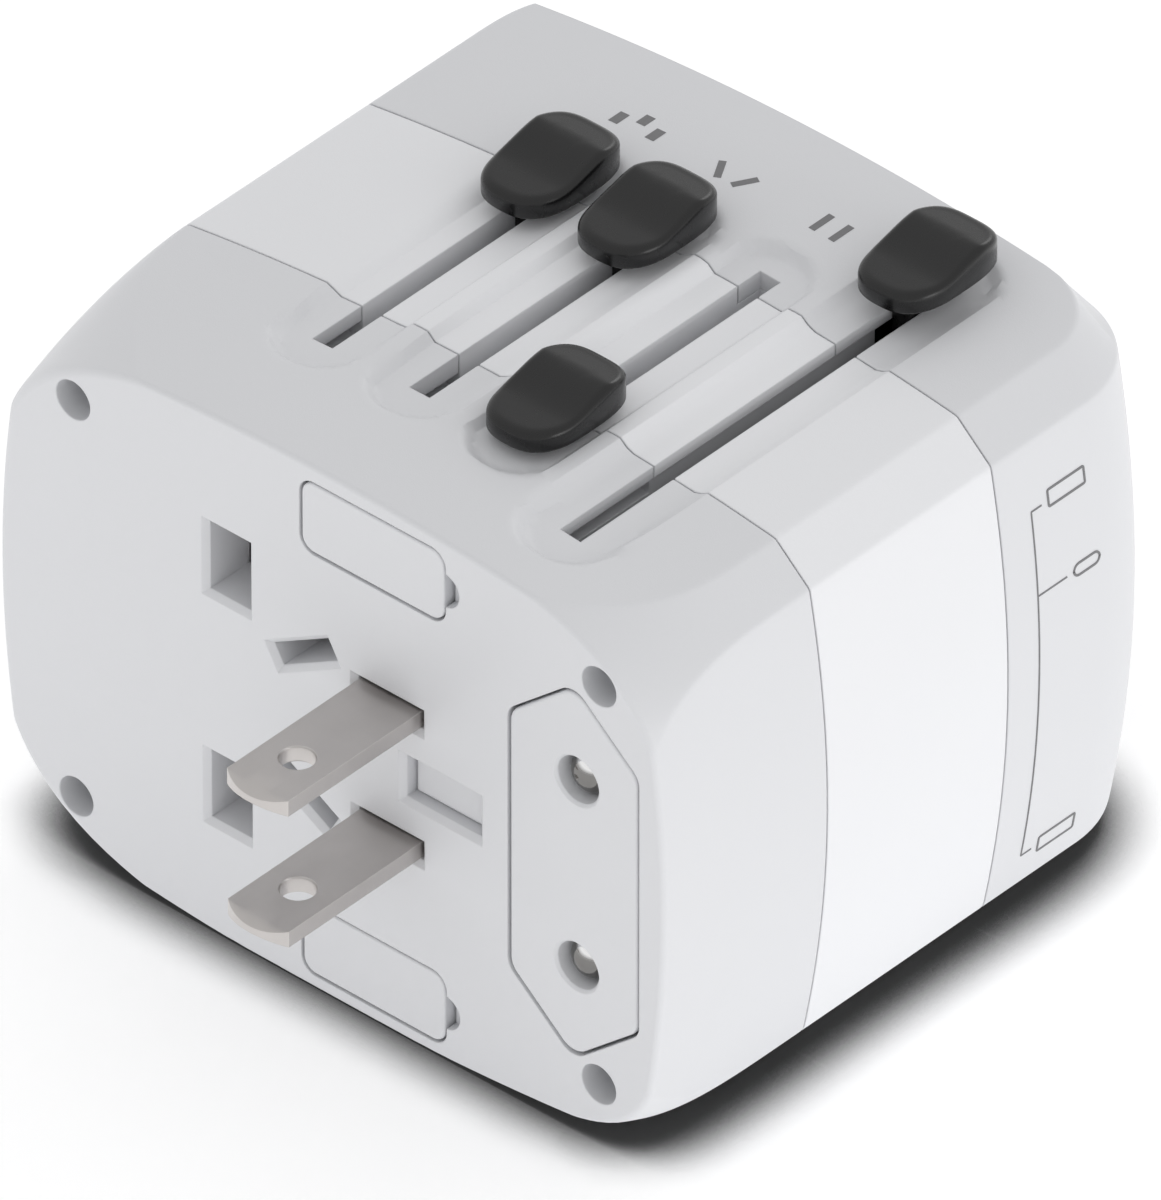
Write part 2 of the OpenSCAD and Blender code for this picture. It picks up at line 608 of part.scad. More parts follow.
module fuse_clips() placed() color([0.78, 0.6, 0.3])
    for (x = [fuse_x - fuse_l / 2 + 0.2, fuse_x + fuse_l / 2 - 2])
        translate([x, fuse_y, fuse_z]) rotate([0, 90, 0]) difference() {
            union() {
                cylinder(r = fuse_r + 0.3, h = 1.8);
                translate([-1, 1.9, 0]) cube([2, 7.2 - fuse_y - 1.9 - fit, 1.8]);
            }
            translate([0, 0, -over]) cylinder(r = fuse_r + 0.05, h = 1.8 + 2 * over);
            translate([-3, -4, -over]) cube([6, 3.2, 1.8 + 2 * over]);
        }

// ---------- charger electronics ----------

board_x = -18.3;
board_t = 1.6;
module power_board() placed() color([0.1, 0.35, 0.2])
    box([board_x, 12, -15.5], [board_x + board_t, 55, 15.5]);
module transformer() placed() color([0.75, 0.65, 0.2]) {
    box([-30, 20, -5], [board_x - fit, 36, 9]);
    box([-28.5, 18.5, -3], [board_x - 1.5, 37.5, 7]);
}
module capacitors() placed() color([0.15, 0.15, 0.3])
    for (p = [[43.5, 6.5, 4.5, 11], [43.5, -4.5, 4, 11], [52, 1, 3, 8]])
        translate([board_x - fit, p[0], p[1]]) rotate([0, -90, 0]) cylinder(r = p[2], h = p[3]);
module bridge_rectifier() placed() color([0.12, 0.12, 0.12]) box([-22, 21, -14], [board_x - fit, 27, -8]);
module inductor() placed() color([0.55, 0.3, 0.15])
    translate([board_x - fit, 33, -11]) rotate([0, -90, 0]) difference() {
        cylinder(r = 3.8, h = 6);
        translate([0, 0, 1]) cylinder(r = 1.2, h = 6);
    }

port_span = 2 * usb_a.y + usb_c.y + 2 * port_gap;
port_z = [port_span / 2 - usb_a.y / 2, port_span / 2 - usb_a.y - port_gap - usb_c.y / 2,
          -port_span / 2 + usb_a.y / 2];
module port_board() placed() color([0.1, 0.35, 0.2]) box([port_x + 3, 46, -15.8], [port_x + 4.6, 54.7, 15.8]);

// Mouth of a port, from Y = 0 into the case
module port_opening(size, depth, gap) rotate([-90, 0, 0]) linear_extrude(depth)
    square([size.x + 2 * gap, size.y + 2 * gap], center = true);

module port_shell(size, z) translate([port_x, body_d - 0.2 - size.z, z]) difference() {
    port_opening(size, size.z, 0);
    translate([0, -over, 0]) port_opening(size, size.z + 2 * over, -shell_t);
}
module usb_a_shells() placed() color([0.75, 0.75, 0.77]) for (z = [port_z[0], port_z[2]]) {
    port_shell(usb_a, z);
    translate([port_x, body_d - 0.2 - usb_a.z, z]) port_opening(usb_a, 1, -shell_t + 0.01);
}
module usb_a_tongues() placed() color([0.1, 0.1, 0.1]) for (z = [port_z[0], port_z[2]])
    translate([port_x + 0.6, body_d - 0.2 - usb_a.z + 1.02, z]) {
        box([0, 0, -5.4], [1.5, 11, 5.4]);
        box([-2.7, 0, -5.6], [1.5, 3, 5.6]);
    }
module usb_c_shell() placed() color([0.75, 0.75, 0.77]) {
    port_shell(usb_c, port_z[1]);
    translate([port_x, body_d - 0.2 - usb_c.z, port_z[1]]) port_opening(usb_c, 1, -shell_t + 0.01);
}
module usb_c_tongue() placed() color([0.1, 0.1, 0.1])
    translate([port_x, body_d - 0.2 - usb_c.z + 1.02, port_z[1]]) box([-0.35, 0, -3.2], [0.35, 6.8, 3.2]);

front_cap();
middle_band();
rear_cap();
case_screws();
socket_face();
contact_block();
live_contact();
neutral_contact();
live_busbar();
neutral_busbar();
uk_knob();
uk_carriage();
uk_pins();
uk_earth_pin();
aus_knob();
aus_carriage();
aus_pins();
usa_knob();
usa_carriage();
usa_blades();
eu_knob();
eu_carriage();
eu_pins();
eu_plug_body();
fuse_cover();
fuse();
fuse_clips();
spare_fuse_cover();
spare_fuse();
power_board();
transformer();
capacitors();
bridge_rectifier();
inductor();
port_board();
usb_a_shells();
usb_a_tongues();
usb_c_shell();
usb_c_tongue();
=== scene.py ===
"""Looks for the universal travel adapter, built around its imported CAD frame.

Shapes are worked out in plug coordinates, in millimetres: X across the plug face, Y = 0 on the plug face and
growing towards the socket, Z = 0 at mid height. place() turns them into the scene's metres.
"""
import json
import math

import bmesh
import bpy
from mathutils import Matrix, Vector

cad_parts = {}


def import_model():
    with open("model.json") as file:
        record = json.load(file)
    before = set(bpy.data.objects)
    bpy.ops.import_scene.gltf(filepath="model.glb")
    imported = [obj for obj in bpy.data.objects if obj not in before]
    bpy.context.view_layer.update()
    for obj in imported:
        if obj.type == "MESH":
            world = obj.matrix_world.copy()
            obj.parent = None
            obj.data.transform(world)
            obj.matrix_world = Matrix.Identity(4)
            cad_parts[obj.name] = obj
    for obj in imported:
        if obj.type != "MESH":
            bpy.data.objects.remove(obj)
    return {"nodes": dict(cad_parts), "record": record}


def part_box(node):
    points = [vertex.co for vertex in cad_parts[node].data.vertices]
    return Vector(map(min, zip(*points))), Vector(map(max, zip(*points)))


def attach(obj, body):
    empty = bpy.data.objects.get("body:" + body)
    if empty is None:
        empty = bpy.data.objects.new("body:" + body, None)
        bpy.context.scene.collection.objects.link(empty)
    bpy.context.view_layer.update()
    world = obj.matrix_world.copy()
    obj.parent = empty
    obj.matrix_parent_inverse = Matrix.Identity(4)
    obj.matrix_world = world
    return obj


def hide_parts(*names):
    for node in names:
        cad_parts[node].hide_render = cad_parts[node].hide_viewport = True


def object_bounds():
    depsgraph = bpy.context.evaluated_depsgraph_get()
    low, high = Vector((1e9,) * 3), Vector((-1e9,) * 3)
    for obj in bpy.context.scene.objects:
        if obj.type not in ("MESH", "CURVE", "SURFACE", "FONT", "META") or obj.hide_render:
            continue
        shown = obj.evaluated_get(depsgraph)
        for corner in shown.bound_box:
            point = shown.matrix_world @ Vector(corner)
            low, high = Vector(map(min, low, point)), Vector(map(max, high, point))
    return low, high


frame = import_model()
cad_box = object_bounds()
NODES = frame["nodes"]

# ---------- sizes, from the frame ----------


def box_mm(node):
    """A CAD node's lowest and highest corners in plug coordinates."""
    lo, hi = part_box(node)
    shift = Vector((0, DEPTH / 2, -MID_Z))
    return lo * 1000 + shift, hi * 1000 + shift


REST_CUT = 0.5  # slice taken off the bottom arch for the rest face
DEPTH = (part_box("rear_cap")[1].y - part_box("front_cap")[0].y) * 1000
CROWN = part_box("middle_band")[1].z * 1000
HALF_H = (CROWN + REST_CUT) / 2
MID_Z = CROWN - HALF_H
CASE_X = (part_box("middle_band")[0].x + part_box("middle_band")[1].x) * 500  # the case's middle
HALF_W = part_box("middle_band")[1].x * 1000 - CASE_X
SEAM_GAP, BAND_D = 0.15, 21
SEAM_1 = box_mm("front_cap")[1].y
SEAM_2 = SEAM_1 + SEAM_GAP + BAND_D

SIDE_R, ARCH_R = 107, 215  # crowns of the side and top faces
# A long edge is (x, z, bulge): it leaves the arch at x and meets the side at z, and bulges from
# a straight bevel, 0, to a full rounding, 1
BEVEL_EDGE, ROUND_EDGE = Vector((29.2, 20.3, 0)), Vector((31.6, 22.2, 1))
NOSE_RIGHT, NOSE_LOW = Vector((21, 15.5, 0.74)), Vector((25, 17.5, 0.8))
NOSE_LEFT = Vector((19.9, 15, 0.68))
NOSE_D, NOSE_POWER_RIGHT, NOSE_POWER_LEFT = 19, 4, 1.7
RIM, RIM_LEFT = 0.45, 0.9  # rounding of the plug face's rim, and on its left side
CORNER_X, CORNER_R, LEFT_CORNER = 22.6, 10, 3
TAIL_BEVEL_D, TAIL_BEVEL_H = 2.8, 3.6
INNER_TOP, WALL = 22.9, 2.2
GROOVE_R, GROOVE_DEPTH, GROOVE_SOFT = 4.4, 0.75, 0.95
SLOT_W = 2.1
KNOBS = ["uk_knob", "aus_knob", "usa_knob", "eu_knob"]
SLOT_X = [(box_mm(k)[0].x + box_mm(k)[1].x) / 2 for k in KNOBS]
SLOT_ENDS = [(13.3, 42.6)] * 3 + [(8.2, 52.6)]
SCREW_X, SCREW_Z, SCREW_R, SCREW_FLARE = 27.3, 19.3, 1.775, 0.6

# pins and their openings in the plug face; an opening is (width, height)
UK_PITCH, UK_PIN_H = 22.2, 6.35
USA_PITCH, USA_THICK = 12.7, 1.5
AUS_HALF_PITCH, AUS_SLANT = 6.8, 30
AUS_HALF_W, AUS_HALF_THICK = 3.15, 0.8
UK_OPENING, EARTH_OPENING = (4.25, 6.55), (7.75, 4.0)
AUS_OPENING, USA_OPENING = (6.65, 1.95), (6.75, 1.85)
EARTH_RECESS, PIN_RECESS = 1.2, 0.35  # the earth pin's and the round pins' tips behind the plug face


def place(x, y, z):
    return Vector((x / 1000, (y - DEPTH / 2) / 1000, (z + MID_Z) / 1000))


def mix(a, b, t):
    return a + (b - a) * t


def smooth(t):
    t = min(max(t, 0), 1)
    return t * t * (3 - 2 * t)


# ---------- mesh helpers ----------


def add_object(name, verts, faces):
    mesh = bpy.data.meshes.new(name)
    mesh.from_pydata([place(*v) for v in verts], [], faces)
    mesh.validate()
    obj = bpy.data.objects.new(name, mesh)
    bpy.context.scene.collection.objects.link(obj)
    return obj


def loft(name, rings):
    """Closed solid through rings of equal length."""
    n = len(rings[0])
    verts = [p for ring in rings for p in ring]
    faces = []
    for r in range(len(rings) - 1):
        for i in range(n):
            j = (i + 1) % n
            faces.append((r * n + i, r * n + j, (r + 1) * n + j, (r + 1) * n + i))
    faces.append(tuple(range(n - 1, -1, -1)))
    faces.append(tuple(len(verts) - n + i for i in range(n)))
    obj = add_object(name, verts, faces)
    fix_normals(obj)
    return obj


def fix_normals(obj):
    bm = bmesh.new()
    bm.from_mesh(obj.data)
    bmesh.ops.recalc_face_normals(bm, faces=bm.faces)
    bm.to_mesh(obj.data)
    bm.free()


def prism(name, outline, y0, y1):
    """Solid whose outline, a list of (x, z), runs from y0 to y1."""
    return loft(name, [[(x, y, z) for x, z in outline] for y in (y0, y1)])


def grow(outline, gap):
    """A convex outline moved outwards by gap, corner by corner."""
    if not gap:
        return outline
    n = len(outline)
    cx = sum(p[0] for p in outline) / n
    cz = sum(p[1] for p in outline) / n
    out = []
    for i in range(n):
        p, a, b = Vector(outline[i]), Vector(outline[i - 1]), Vector(outline[(i + 1) % n])
        u, v = (p - a), (b - p)
        nu, nv = Vector((u.y, -u.x)).normalized(), Vector((v.y, -v.x)).normalized()
        if nu.dot(p - Vector((cx, cz))) < 0:
            nu.negate()
        if nv.dot(p - Vector((cx, cz))) < 0:
            nv.negate()
        m = nu + nv
        out.append(tuple(p + m * (gap / max(m.dot(nu), 0.2))))
    return out


def rect(x0, x1, z0, z1):
    return [(x0, z0), (x1, z0), (x1, z1), (x0, z1)]


def round_corners(points, r, steps):
    """Convex polygon with its corners rounded to radius r."""
    out = []
    n = len(points)
    for i in range(n):
        p, a, b = Vector(points[i]), Vector(points[i - 1]), Vector(points[(i + 1) % n])
        u, v = (a - p).normalized(), (b - p).normalized()
        half = u.angle(v) / 2
        start = p + u * r / math.tan(half)
        centre = p + (u + v).normalized() * r / math.sin(half)
        a0 = math.atan2(*(start - centre).yx)
        end = p + v * r / math.tan(half)
        a1 = math.atan2(*(end - centre).yx)
        turn = (a1 - a0 + math.pi) % (2 * math.pi) - math.pi
        for k in range(steps + 1):
            angle = a0 + turn * k / steps
            out.append(tuple(centre + Vector((math.cos(angle), math.sin(angle))) * r))
    return out


CIRCLE_STEPS = 48


def circle(x, z, r):
    angles = [2 * math.pi * k / CIRCLE_STEPS for k in range(CIRCLE_STEPS)]
    return [(x + r * math.cos(a), z + r * math.sin(a)) for a in angles]


def turned(outline, x, z, degrees):
    """An outline drawn round (0, 0), turned and moved to (x, z)."""
    c, s = math.cos(math.radians(degrees)), math.sin(math.radians(degrees))
    return [(x + c * px - s * pz, z + s * px + c * pz) for px, pz in outline]


def box_solid(name, lo, hi):
    return prism(name, rect(lo[0], hi[0], lo[2], hi[2]), lo[1], hi[1])


def bake(obj):
    """Replaces an object's mesh by the result of its modifiers."""
    bpy.context.view_layer.update()
    made = bpy.data.meshes.new_from_object(obj.evaluated_get(bpy.context.evaluated_depsgraph_get()))
    obj.modifiers.clear()
    old, obj.data = obj.data, made
    bpy.data.meshes.remove(old)


def joined(name, objs):
    """One object holding the meshes of all objs."""
    bm = bmesh.new()
    for o in objs:
        bm.from_mesh(o.data)
    mesh = bpy.data.meshes.new(name)
    bm.to_mesh(mesh)
    bm.free()
    for o in objs:
        bpy.data.objects.remove(o)
    obj = bpy.data.objects.new(name, mesh)
    bpy.context.scene.collection.objects.link(obj)
    return obj


def cut(obj, cutters, operation="DIFFERENCE"):
    for c in cutters:
        m = obj.modifiers.new("cut", "BOOLEAN")
        m.operation, m.solver, m.object = operation, "EXACT", c
        bake(obj)
        bpy.data.objects.remove(c)


def finish_piece(obj, body, material, slot, *replaced, angle=28, weighted=True):
    """Shades a piece, gives it its material and body, and hides the CAD nodes it replaces."""
    obj.data.shade_smooth()
    obj.data.set_sharp_from_angle(angle=math.radians(angle))
    if weighted:
        m = obj.modifiers.new("normals", "WEIGHTED_NORMAL")
        m.keep_sharp, m.weight = True, 60
    obj.data.materials.clear()
    obj.data.materials.append(material)
    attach(obj, body)
    if replaced:
        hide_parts(*replaced)


# ---------- materials ----------


class Nodes:
    """Short way to add and join shader nodes."""

    def __init__(self, name):
        self.material = bpy.data.materials.new(name)
        self.material.use_nodes = True
        self.tree = self.material.node_tree
        self.surface = self.tree.nodes["Principled BSDF"]

    def add(self, kind, **values):
        node = self.tree.nodes.new(kind)
        for key, value in values.items():
            if hasattr(node, key):
                setattr(node, key, value)
            else:
                node.inputs[key.replace("_", " ")].default_value = value
        return node

    def link(self, a, b):
        self.tree.links.new(a, b)

    def position(self, scale):
        tex = self.add("ShaderNodeTexCoord")
        mapping = self.add("ShaderNodeMapping", Scale=scale)
        self.link(tex.outputs["Object"], mapping.inputs["Vector"])
        return mapping.outputs["Vector"]

    def noise(self, vector, scale, detail=3.0, roughness=0.5):
        node = self.add("ShaderNodeTexNoise", Scale=scale, Detail=detail, Roughness=roughness)
        self.link(vector, node.inputs["Vector"])
        return node.outputs["Fac"]

    def ramp(self, fac, low, high):
        node = self.add("ShaderNodeMapRange")
        self.link(fac, node.inputs["Value"])
        node.inputs["To Min"].default_value = low
        node.inputs["To Max"].default_value = high
        return node.outputs["Result"]

    def bump(self, height, distance, strength=1.0, normal=None):
        node = self.add("ShaderNodeBump", Distance=distance, Strength=strength)
        self.link(height, node.inputs["Height"])
        if normal:
            self.link(normal, node.inputs["Normal"])
        return node.outputs["Normal"]

    def edge_round(self, radius):
        return self.add("ShaderNodeBevel", samples=6, Radius=radius).outputs["Normal"]

    def edge_mask(self, radius, sharpness=8.0):
        """About 1 on a convex edge within radius, else 0."""
        bevel = self.add("ShaderNodeBevel", samples=6, Radius=radius)
        geometry = self.add("ShaderNodeNewGeometry")
        dot = self.add("ShaderNodeVectorMath", operation="DOT_PRODUCT")
        self.link(bevel.outputs["Normal"], dot.inputs[0])
        self.link(geometry.outputs["Normal"], dot.inputs[1])
        invert = self.add("ShaderNodeMath", operation="SUBTRACT")
        invert.inputs[0].default_value = 1.0
        self.link(dot.outputs["Value"], invert.inputs[1])
        scaled = self.add("ShaderNodeMath", operation="MULTIPLY", use_clamp=True)
        self.link(invert.outputs["Value"], scaled.inputs[0])
        scaled.inputs[1].default_value = sharpness
        return scaled.outputs["Value"]

    def mix_color(self, fac, a, b):
        node = self.add("ShaderNodeMix", data_type="RGBA")
        if isinstance(fac, float):
            node.inputs["Factor"].default_value = fac
        else:
            self.link(fac, node.inputs["Factor"])
        for socket, value in ((node.inputs[6], a), (node.inputs[7], b)):
            if isinstance(value, tuple):
                socket.default_value = (*value, 1)
            else:
                self.link(value, socket)
        return node.outputs[2]


def moulded_plastic(name, color, roughness=0.42, grain=0.00002, grain_scale=9000, rim=0.00018,
                    edge_highlight_gain=1.05):
    """Injection-moulded plastic: a fine spark-eroded grain, slow tone drift, softly broken edges that carry a
    painted highlight.
    """
    n = Nodes(name)
    at = n.position((1, 1, 1))
    drift = n.noise(at, 45, 2)
    darker, lighter = tuple(c * 0.985 for c in color), tuple(min(c * 1.015, 1) for c in color)
    tone = n.mix_color(n.ramp(drift, 0.0, 1.0), darker, lighter)
    # painted highlight: convex edges get a lighter colour than the rest of the surface
    tone = n.mix_color(n.edge_mask(rim), tone, tuple(min(c * edge_highlight_gain, 1) for c in color))
    n.link(tone, n.surface.inputs["Base Color"])
    n.link(n.ramp(n.noise(at, 600, 4), roughness - 0.05, roughness + 0.05), n.surface.inputs["Roughness"])
    fine = n.noise(at, grain_scale, 2, 0.6)
    n.link(n.bump(fine, grain, 0.5, n.edge_round(rim)), n.surface.inputs["Normal"])
    n.surface.inputs["IOR"].default_value = 1.5
    n.surface.inputs["Specular IOR Level"].default_value = 0.45
    return n.material


def plated_metal(name, color, roughness, brush=(1, 60, 60), brush_depth=0.000004, rim=0.0001, anisotropic=0.5):
    """Plated or stamped metal with fine drawn lines along one axis and a lighter colour on its edges."""
    n = Nodes(name)
    lines = n.noise(n.position(brush), 120, 5, 0.7)
    cloud = n.noise(n.position((1, 1, 1)), 260, 4)
    tone = n.mix_color(cloud, tuple(c * 0.93 for c in color), tuple(min(c * 1.05, 1) for c in color))
    # the colour is made lighter on convex edges
    tone = n.mix_color(n.edge_mask(rim, 5.0), tone, tuple(min(c * 1.2, 1) for c in color))
    n.link(tone, n.surface.inputs["Base Color"])
    n.surface.inputs["Metallic"].default_value = 1.0
    n.link(n.ramp(lines, roughness * 0.8, roughness * 1.2), n.surface.inputs["Roughness"])
    n.surface.inputs["Anisotropic"].default_value = anisotropic
    n.link(n.bump(lines, brush_depth, 0.35, n.edge_round(rim)), n.surface.inputs["Normal"])
    return n.material


def painted_reflection_metal(name, dark, bright):
    """Mirror plating whose base colour is a painted reflection: dark where the reflected ray runs near the
    horizon, bright where it runs upwards.
    """
    n = Nodes(name)
    # painted reflection: the base colour goes from dark to bright with the height of the reflected ray
    mirrored = n.add("ShaderNodeSeparateXYZ")
    n.link(n.add("ShaderNodeTexCoord").outputs["Reflection"], mirrored.inputs[0])
    height = n.add("ShaderNodeMapRange", interpolation_type="SMOOTHSTEP")
    n.link(mirrored.outputs["Z"], height.inputs["Value"])
    height.inputs["From Min"].default_value = -0.1
    height.inputs["From Max"].default_value = 0.35
    n.link(n.mix_color(height.outputs["Result"], dark, bright), n.surface.inputs["Base Color"])
    n.surface.inputs["Metallic"].default_value = 1.0
    n.link(n.ramp(n.noise(n.position((1, 1, 1)), 500, 4), 0.05, 0.11), n.surface.inputs["Roughness"])
    n.link(n.bump(n.noise(n.position((20, 1, 20)), 150, 4), 0.000002, 0.3), n.surface.inputs["Normal"])
    return n.material


def printed_ink(name, color):
    n = Nodes(name)
    cover = n.noise(n.position((1, 1, 1)), 4000, 3)
    n.link(n.mix_color(cover, color, tuple(min(c * 1.25, 1) for c in color)), n.surface.inputs["Base Color"])
    n.link(n.ramp(cover, 0.5, 0.65), n.surface.inputs["Roughness"])
    return n.material


def circuit_board(name):
    n = Nodes(name)
    weave = n.add("ShaderNodeTexBrick", Scale=400.0)
    n.link(n.position((1, 1, 1)), weave.inputs["Vector"])
    tone = n.mix_color(weave.outputs["Fac"], (0.01, 0.09, 0.04), (0.02, 0.14, 0.07))
    n.link(tone, n.surface.inputs["Base Color"])
    n.link(n.ramp(n.noise(n.position((1, 1, 1)), 900), 0.25, 0.4), n.surface.inputs["Roughness"])
    return n.material


MATERIALS = {
    "case_plastic": moulded_plastic("case_plastic", (0.70, 0.705, 0.725)),
    "band_plastic": moulded_plastic("band_plastic", (0.80, 0.805, 0.825), roughness=0.38),
    "socket_plastic": moulded_plastic("socket_plastic", (0.56, 0.565, 0.58), roughness=0.55, grain=0.00005,
                                      grain_scale=5000),
    "inner_plastic": moulded_plastic("inner_plastic", (0.03, 0.03, 0.032), roughness=0.5),
    "knob_plastic": moulded_plastic("knob_plastic", (0.006, 0.006, 0.0062), roughness=0.27, grain=0.000004,
                                    edge_highlight_gain=1.6),
    "pin_metal": plated_metal("pin_metal", (0.56, 0.535, 0.52), 0.36, brush=(60, 1, 60)),
    "round_pin_metal": painted_reflection_metal("round_pin_metal", (0.2, 0.195, 0.19), (0.98, 0.98, 0.98)),
    "contact_brass": plated_metal("contact_brass", (0.7, 0.5, 0.25), 0.3),
    "screw_steel": plated_metal("screw_steel", (0.5, 0.5, 0.52), 0.3),
    "fuse_ceramic": moulded_plastic("fuse_ceramic", (0.8, 0.78, 0.72), roughness=0.2),
    "circuit_board": circuit_board("circuit_board"),
    "component_dark": moulded_plastic("component_dark", (0.05, 0.05, 0.06), roughness=0.35),
    "port_steel": plated_metal("port_steel", (0.62, 0.62, 0.64), 0.25, brush=(60, 1, 60)),
    "port_plastic": moulded_plastic("port_plastic", (0.03, 0.03, 0.035), roughness=0.45),
    "ink": printed_ink("ink", (0.16, 0.16, 0.165)),
}

# ---------- case shells ----------


def side_at(z, inset):
    return HALF_W - SIDE_R + math.sqrt(SIDE_R**2 - z * z) - inset


def arch_at(x, inset=0.0):
    return HALF_H - ARCH_R + math.sqrt(ARCH_R**2 - x * x) - inset


def top_z(x):
    """Height of the top face at plug coordinate x."""
    return arch_at(x - CASE_X)


def fade(y, depth, power):
    return (1 - y / depth) ** power if y < depth else 0.0


def drawn_in(d, across, along):
    """How far an elliptical rounding has drawn the surface in at distance d from its end."""
    return across * (1 - math.sqrt(1 - (1 - d / along) ** 2)) if d < along else 0.0


ARCH_STEPS, CORNER_STEPS, SIDE_STEPS = 42, 14, 10


def groove_depth(x, y):
    """Depth of the finger grooves round the slots at a point of the top."""
    depth = 0.0
    for sx, (y0, y1) in zip(SLOT_X, SLOT_ENDS):
        along = max(y0 + 0.2 - y, 0, y - (y1 - 1))
        away = math.hypot(x - sx, along)
        depth = max(depth, GROOVE_DEPTH * smooth((GROOVE_R - away) / GROOVE_SOFT))
    return depth


def quarter(edge, inset_x, inset_z):
    """A quarter of the section, from the side face up to the crown, as seen from the case's middle."""
    xa = edge[0]
    zs = min(edge[1], arch_at(xa, inset_z) - 0.8)
    a = Vector((xa, arch_at(xa, inset_z)))
    s = Vector((side_at(zs, inset_x), zs))
    slope_a = -xa / math.sqrt(ARCH_R**2 - xa * xa)
    slope_s = -zs / math.sqrt(SIDE_R**2 - zs * zs)
    tip_z = (a.y + slope_a * (s.x - slope_s * zs - xa)) / (1 - slope_a * slope_s)
    tip = Vector((s.x + slope_s * (tip_z - zs), tip_z))
    turn = mix((a + s) / 2, tip, edge[2])
    # close to the edge the side and the arch get extra support points
    heights = [zs * i / SIDE_STEPS for i in range(SIDE_STEPS)] + [zs - 0.5, zs - 0.25]
    points = [(side_at(z, inset_x), z) for z in heights]
    for i in range(CORNER_STEPS + 1):
        # points crowd towards both ends, where a bevel's edges are
        t = 0.5 - 0.5 * math.cos(math.pi * i / CORNER_STEPS)
        points.append(tuple(mix(mix(s, turn, t), mix(turn, a, t), t)))
    crown = [xa - 0.25] + [xa * (1 - i / ARCH_STEPS) for i in range(1, ARCH_STEPS)]
    return points + [(x, arch_at(x, inset_z)) for x in crown]


def section(y, lip=0.0):
    """Whole section at depth y as a ring of (x, y, z), grooves and rest face included."""
    d = DEPTH - y
    rim = drawn_in(y, RIM, RIM) + lip
    right = rim + drawn_in(d, CORNER_R, CORNER_R)
    left = drawn_in(y, RIM_LEFT, RIM_LEFT) + lip + LEFT_CORNER * fade(d, CORNER_R, 4)
    inset_z = rim + max(0, TAIL_BEVEL_D - d) * TAIL_BEVEL_H / TAIL_BEVEL_D
    plateau_r = BEVEL_EDGE.x - CORNER_X
    top = mix(BEVEL_EDGE, NOSE_RIGHT, fade(y, NOSE_D, NOSE_POWER_RIGHT))
    top.x = min(top.x, BEVEL_EDGE.x - drawn_in(max(0, d - TAIL_BEVEL_D), plateau_r, plateau_r))
    low = mix(ROUND_EDGE, NOSE_LOW, fade(y, NOSE_D, NOSE_POWER_RIGHT)) - Vector((right, 0, 0))
    side = mix(ROUND_EDGE, NOSE_LEFT, fade(y, NOSE_D, NOSE_POWER_LEFT)) - Vector((left, 0, 0))
    top_right = quarter(top, right, inset_z)
    low_right = quarter(low, right, inset_z)
    left_side = quarter(side, left, inset_z)
    ring = top_right + [(0, arch_at(0, inset_z))] + [(-x, z) for x, z in reversed(left_side[1:])]
    ring += [(-x, -z) for x, z in left_side] + [(0, -arch_at(0, inset_z))]
    ring += [(x, -z) for x, z in reversed(low_right[1:])]
    rest = -HALF_H + REST_CUT + max(inset_z - REST_CUT, 0)
    out = []
    for x, z in soften(ring):
        x += CASE_X
        if z > 15 and abs(x) < 26:
            z -= groove_depth(x, y)
        out.append((x, y, max(z, rest)))
    return out


def soften(ring):
    """Rounds the bevel edges a little by averaging neighbours."""
    for _ in range(2):
        n = len(ring)
        ring = [((ring[i - 1][0] + 2 * ring[i][0] + ring[(i + 1) % n][0]) / 4,
                 (ring[i - 1][1] + 2 * ring[i][1] + ring[(i + 1) % n][1]) / 4) for i in range(n)]
    return ring


def stations(y0, y1, step):
    n = max(1, round((y1 - y0) / step))
    return [y0 + (y1 - y0) * i / n for i in range(n + 1)]


def cavity(y0, y1, corner=0.0, side=0.0):
    """Cutter for the room inside the shells; corner and side draw its corners and sides in."""
    q = [(31.7 - side, 10 - corner), (30.4 - corner / 4 - side, 19.6 - corner),
         (27.4 - corner - side, 21.9 - corner / 4), (23 - corner - side, INNER_TOP)]
    back = q[::-1]
    outline = q + [(-x, z) for x, z in back] + [(-x, -z) for x, z in q] + [(x, -z) for x, z in back]
    return prism("room", outline, y0, y1)


def slot_cutters(low=INNER_TOP - 1):
    return [box_solid("slot_cut", (x - SLOT_W / 2, y0, low), (x + SLOT_W / 2, y1, HALF_H + 1))
            for x, (y0, y1) in zip(SLOT_X, SLOT_ENDS)]


SEAM_LIP = 0.06  # how far from a seam its rounded edge starts


def seam_lip(y, *seams):
    """Tiny roll-over of a shell's edge at its seams."""
    return max(max(0.0, SEAM_LIP - abs(y - seam)) * 0.8 for seam in seams)


FINE = 0.4  # spacing of the shells' sections


def window(x, z, w, h, degrees=0.0, depth=5.0, lead=0.5):
    """Cutter for a pin tunnel with a bevelled mouth."""
    base = turned(rect(-w / 2, w / 2, -h / 2, h / 2), x, z, degrees)
    steps = ((-0.5, lead + 0.5), (lead, 0.0), (depth + 0.5, 0.0))
    return loft("window", [[(px, y, pz) for px, pz in grow(base, g)] for y, g in steps])


def block_outline(gap=0.0):
    lo, hi = box_mm("eu_plug_body")
    x = (lo.x + hi.x) / 2
    half, shoulder, tall = 6.55 + gap, 12.3 + gap * 0.5, 17.9 + gap * 1.3
    points = [(x - half, -shoulder), (x, -tall), (x + half, -shoulder), (x + half, shoulder), (x, tall),
              (x - half, shoulder)]
    return round_corners(points, 1.8, 8)


def cover_outline(gap=0.0, upper=True):
    lo, hi = box_mm("fuse_cover" if upper else "spare_fuse_cover")
    return round_corners(rect(lo.x - gap, hi.x + gap, lo.z - gap, hi.z + gap), 1.3 + gap, 8)


NOTCH_R = 1.6


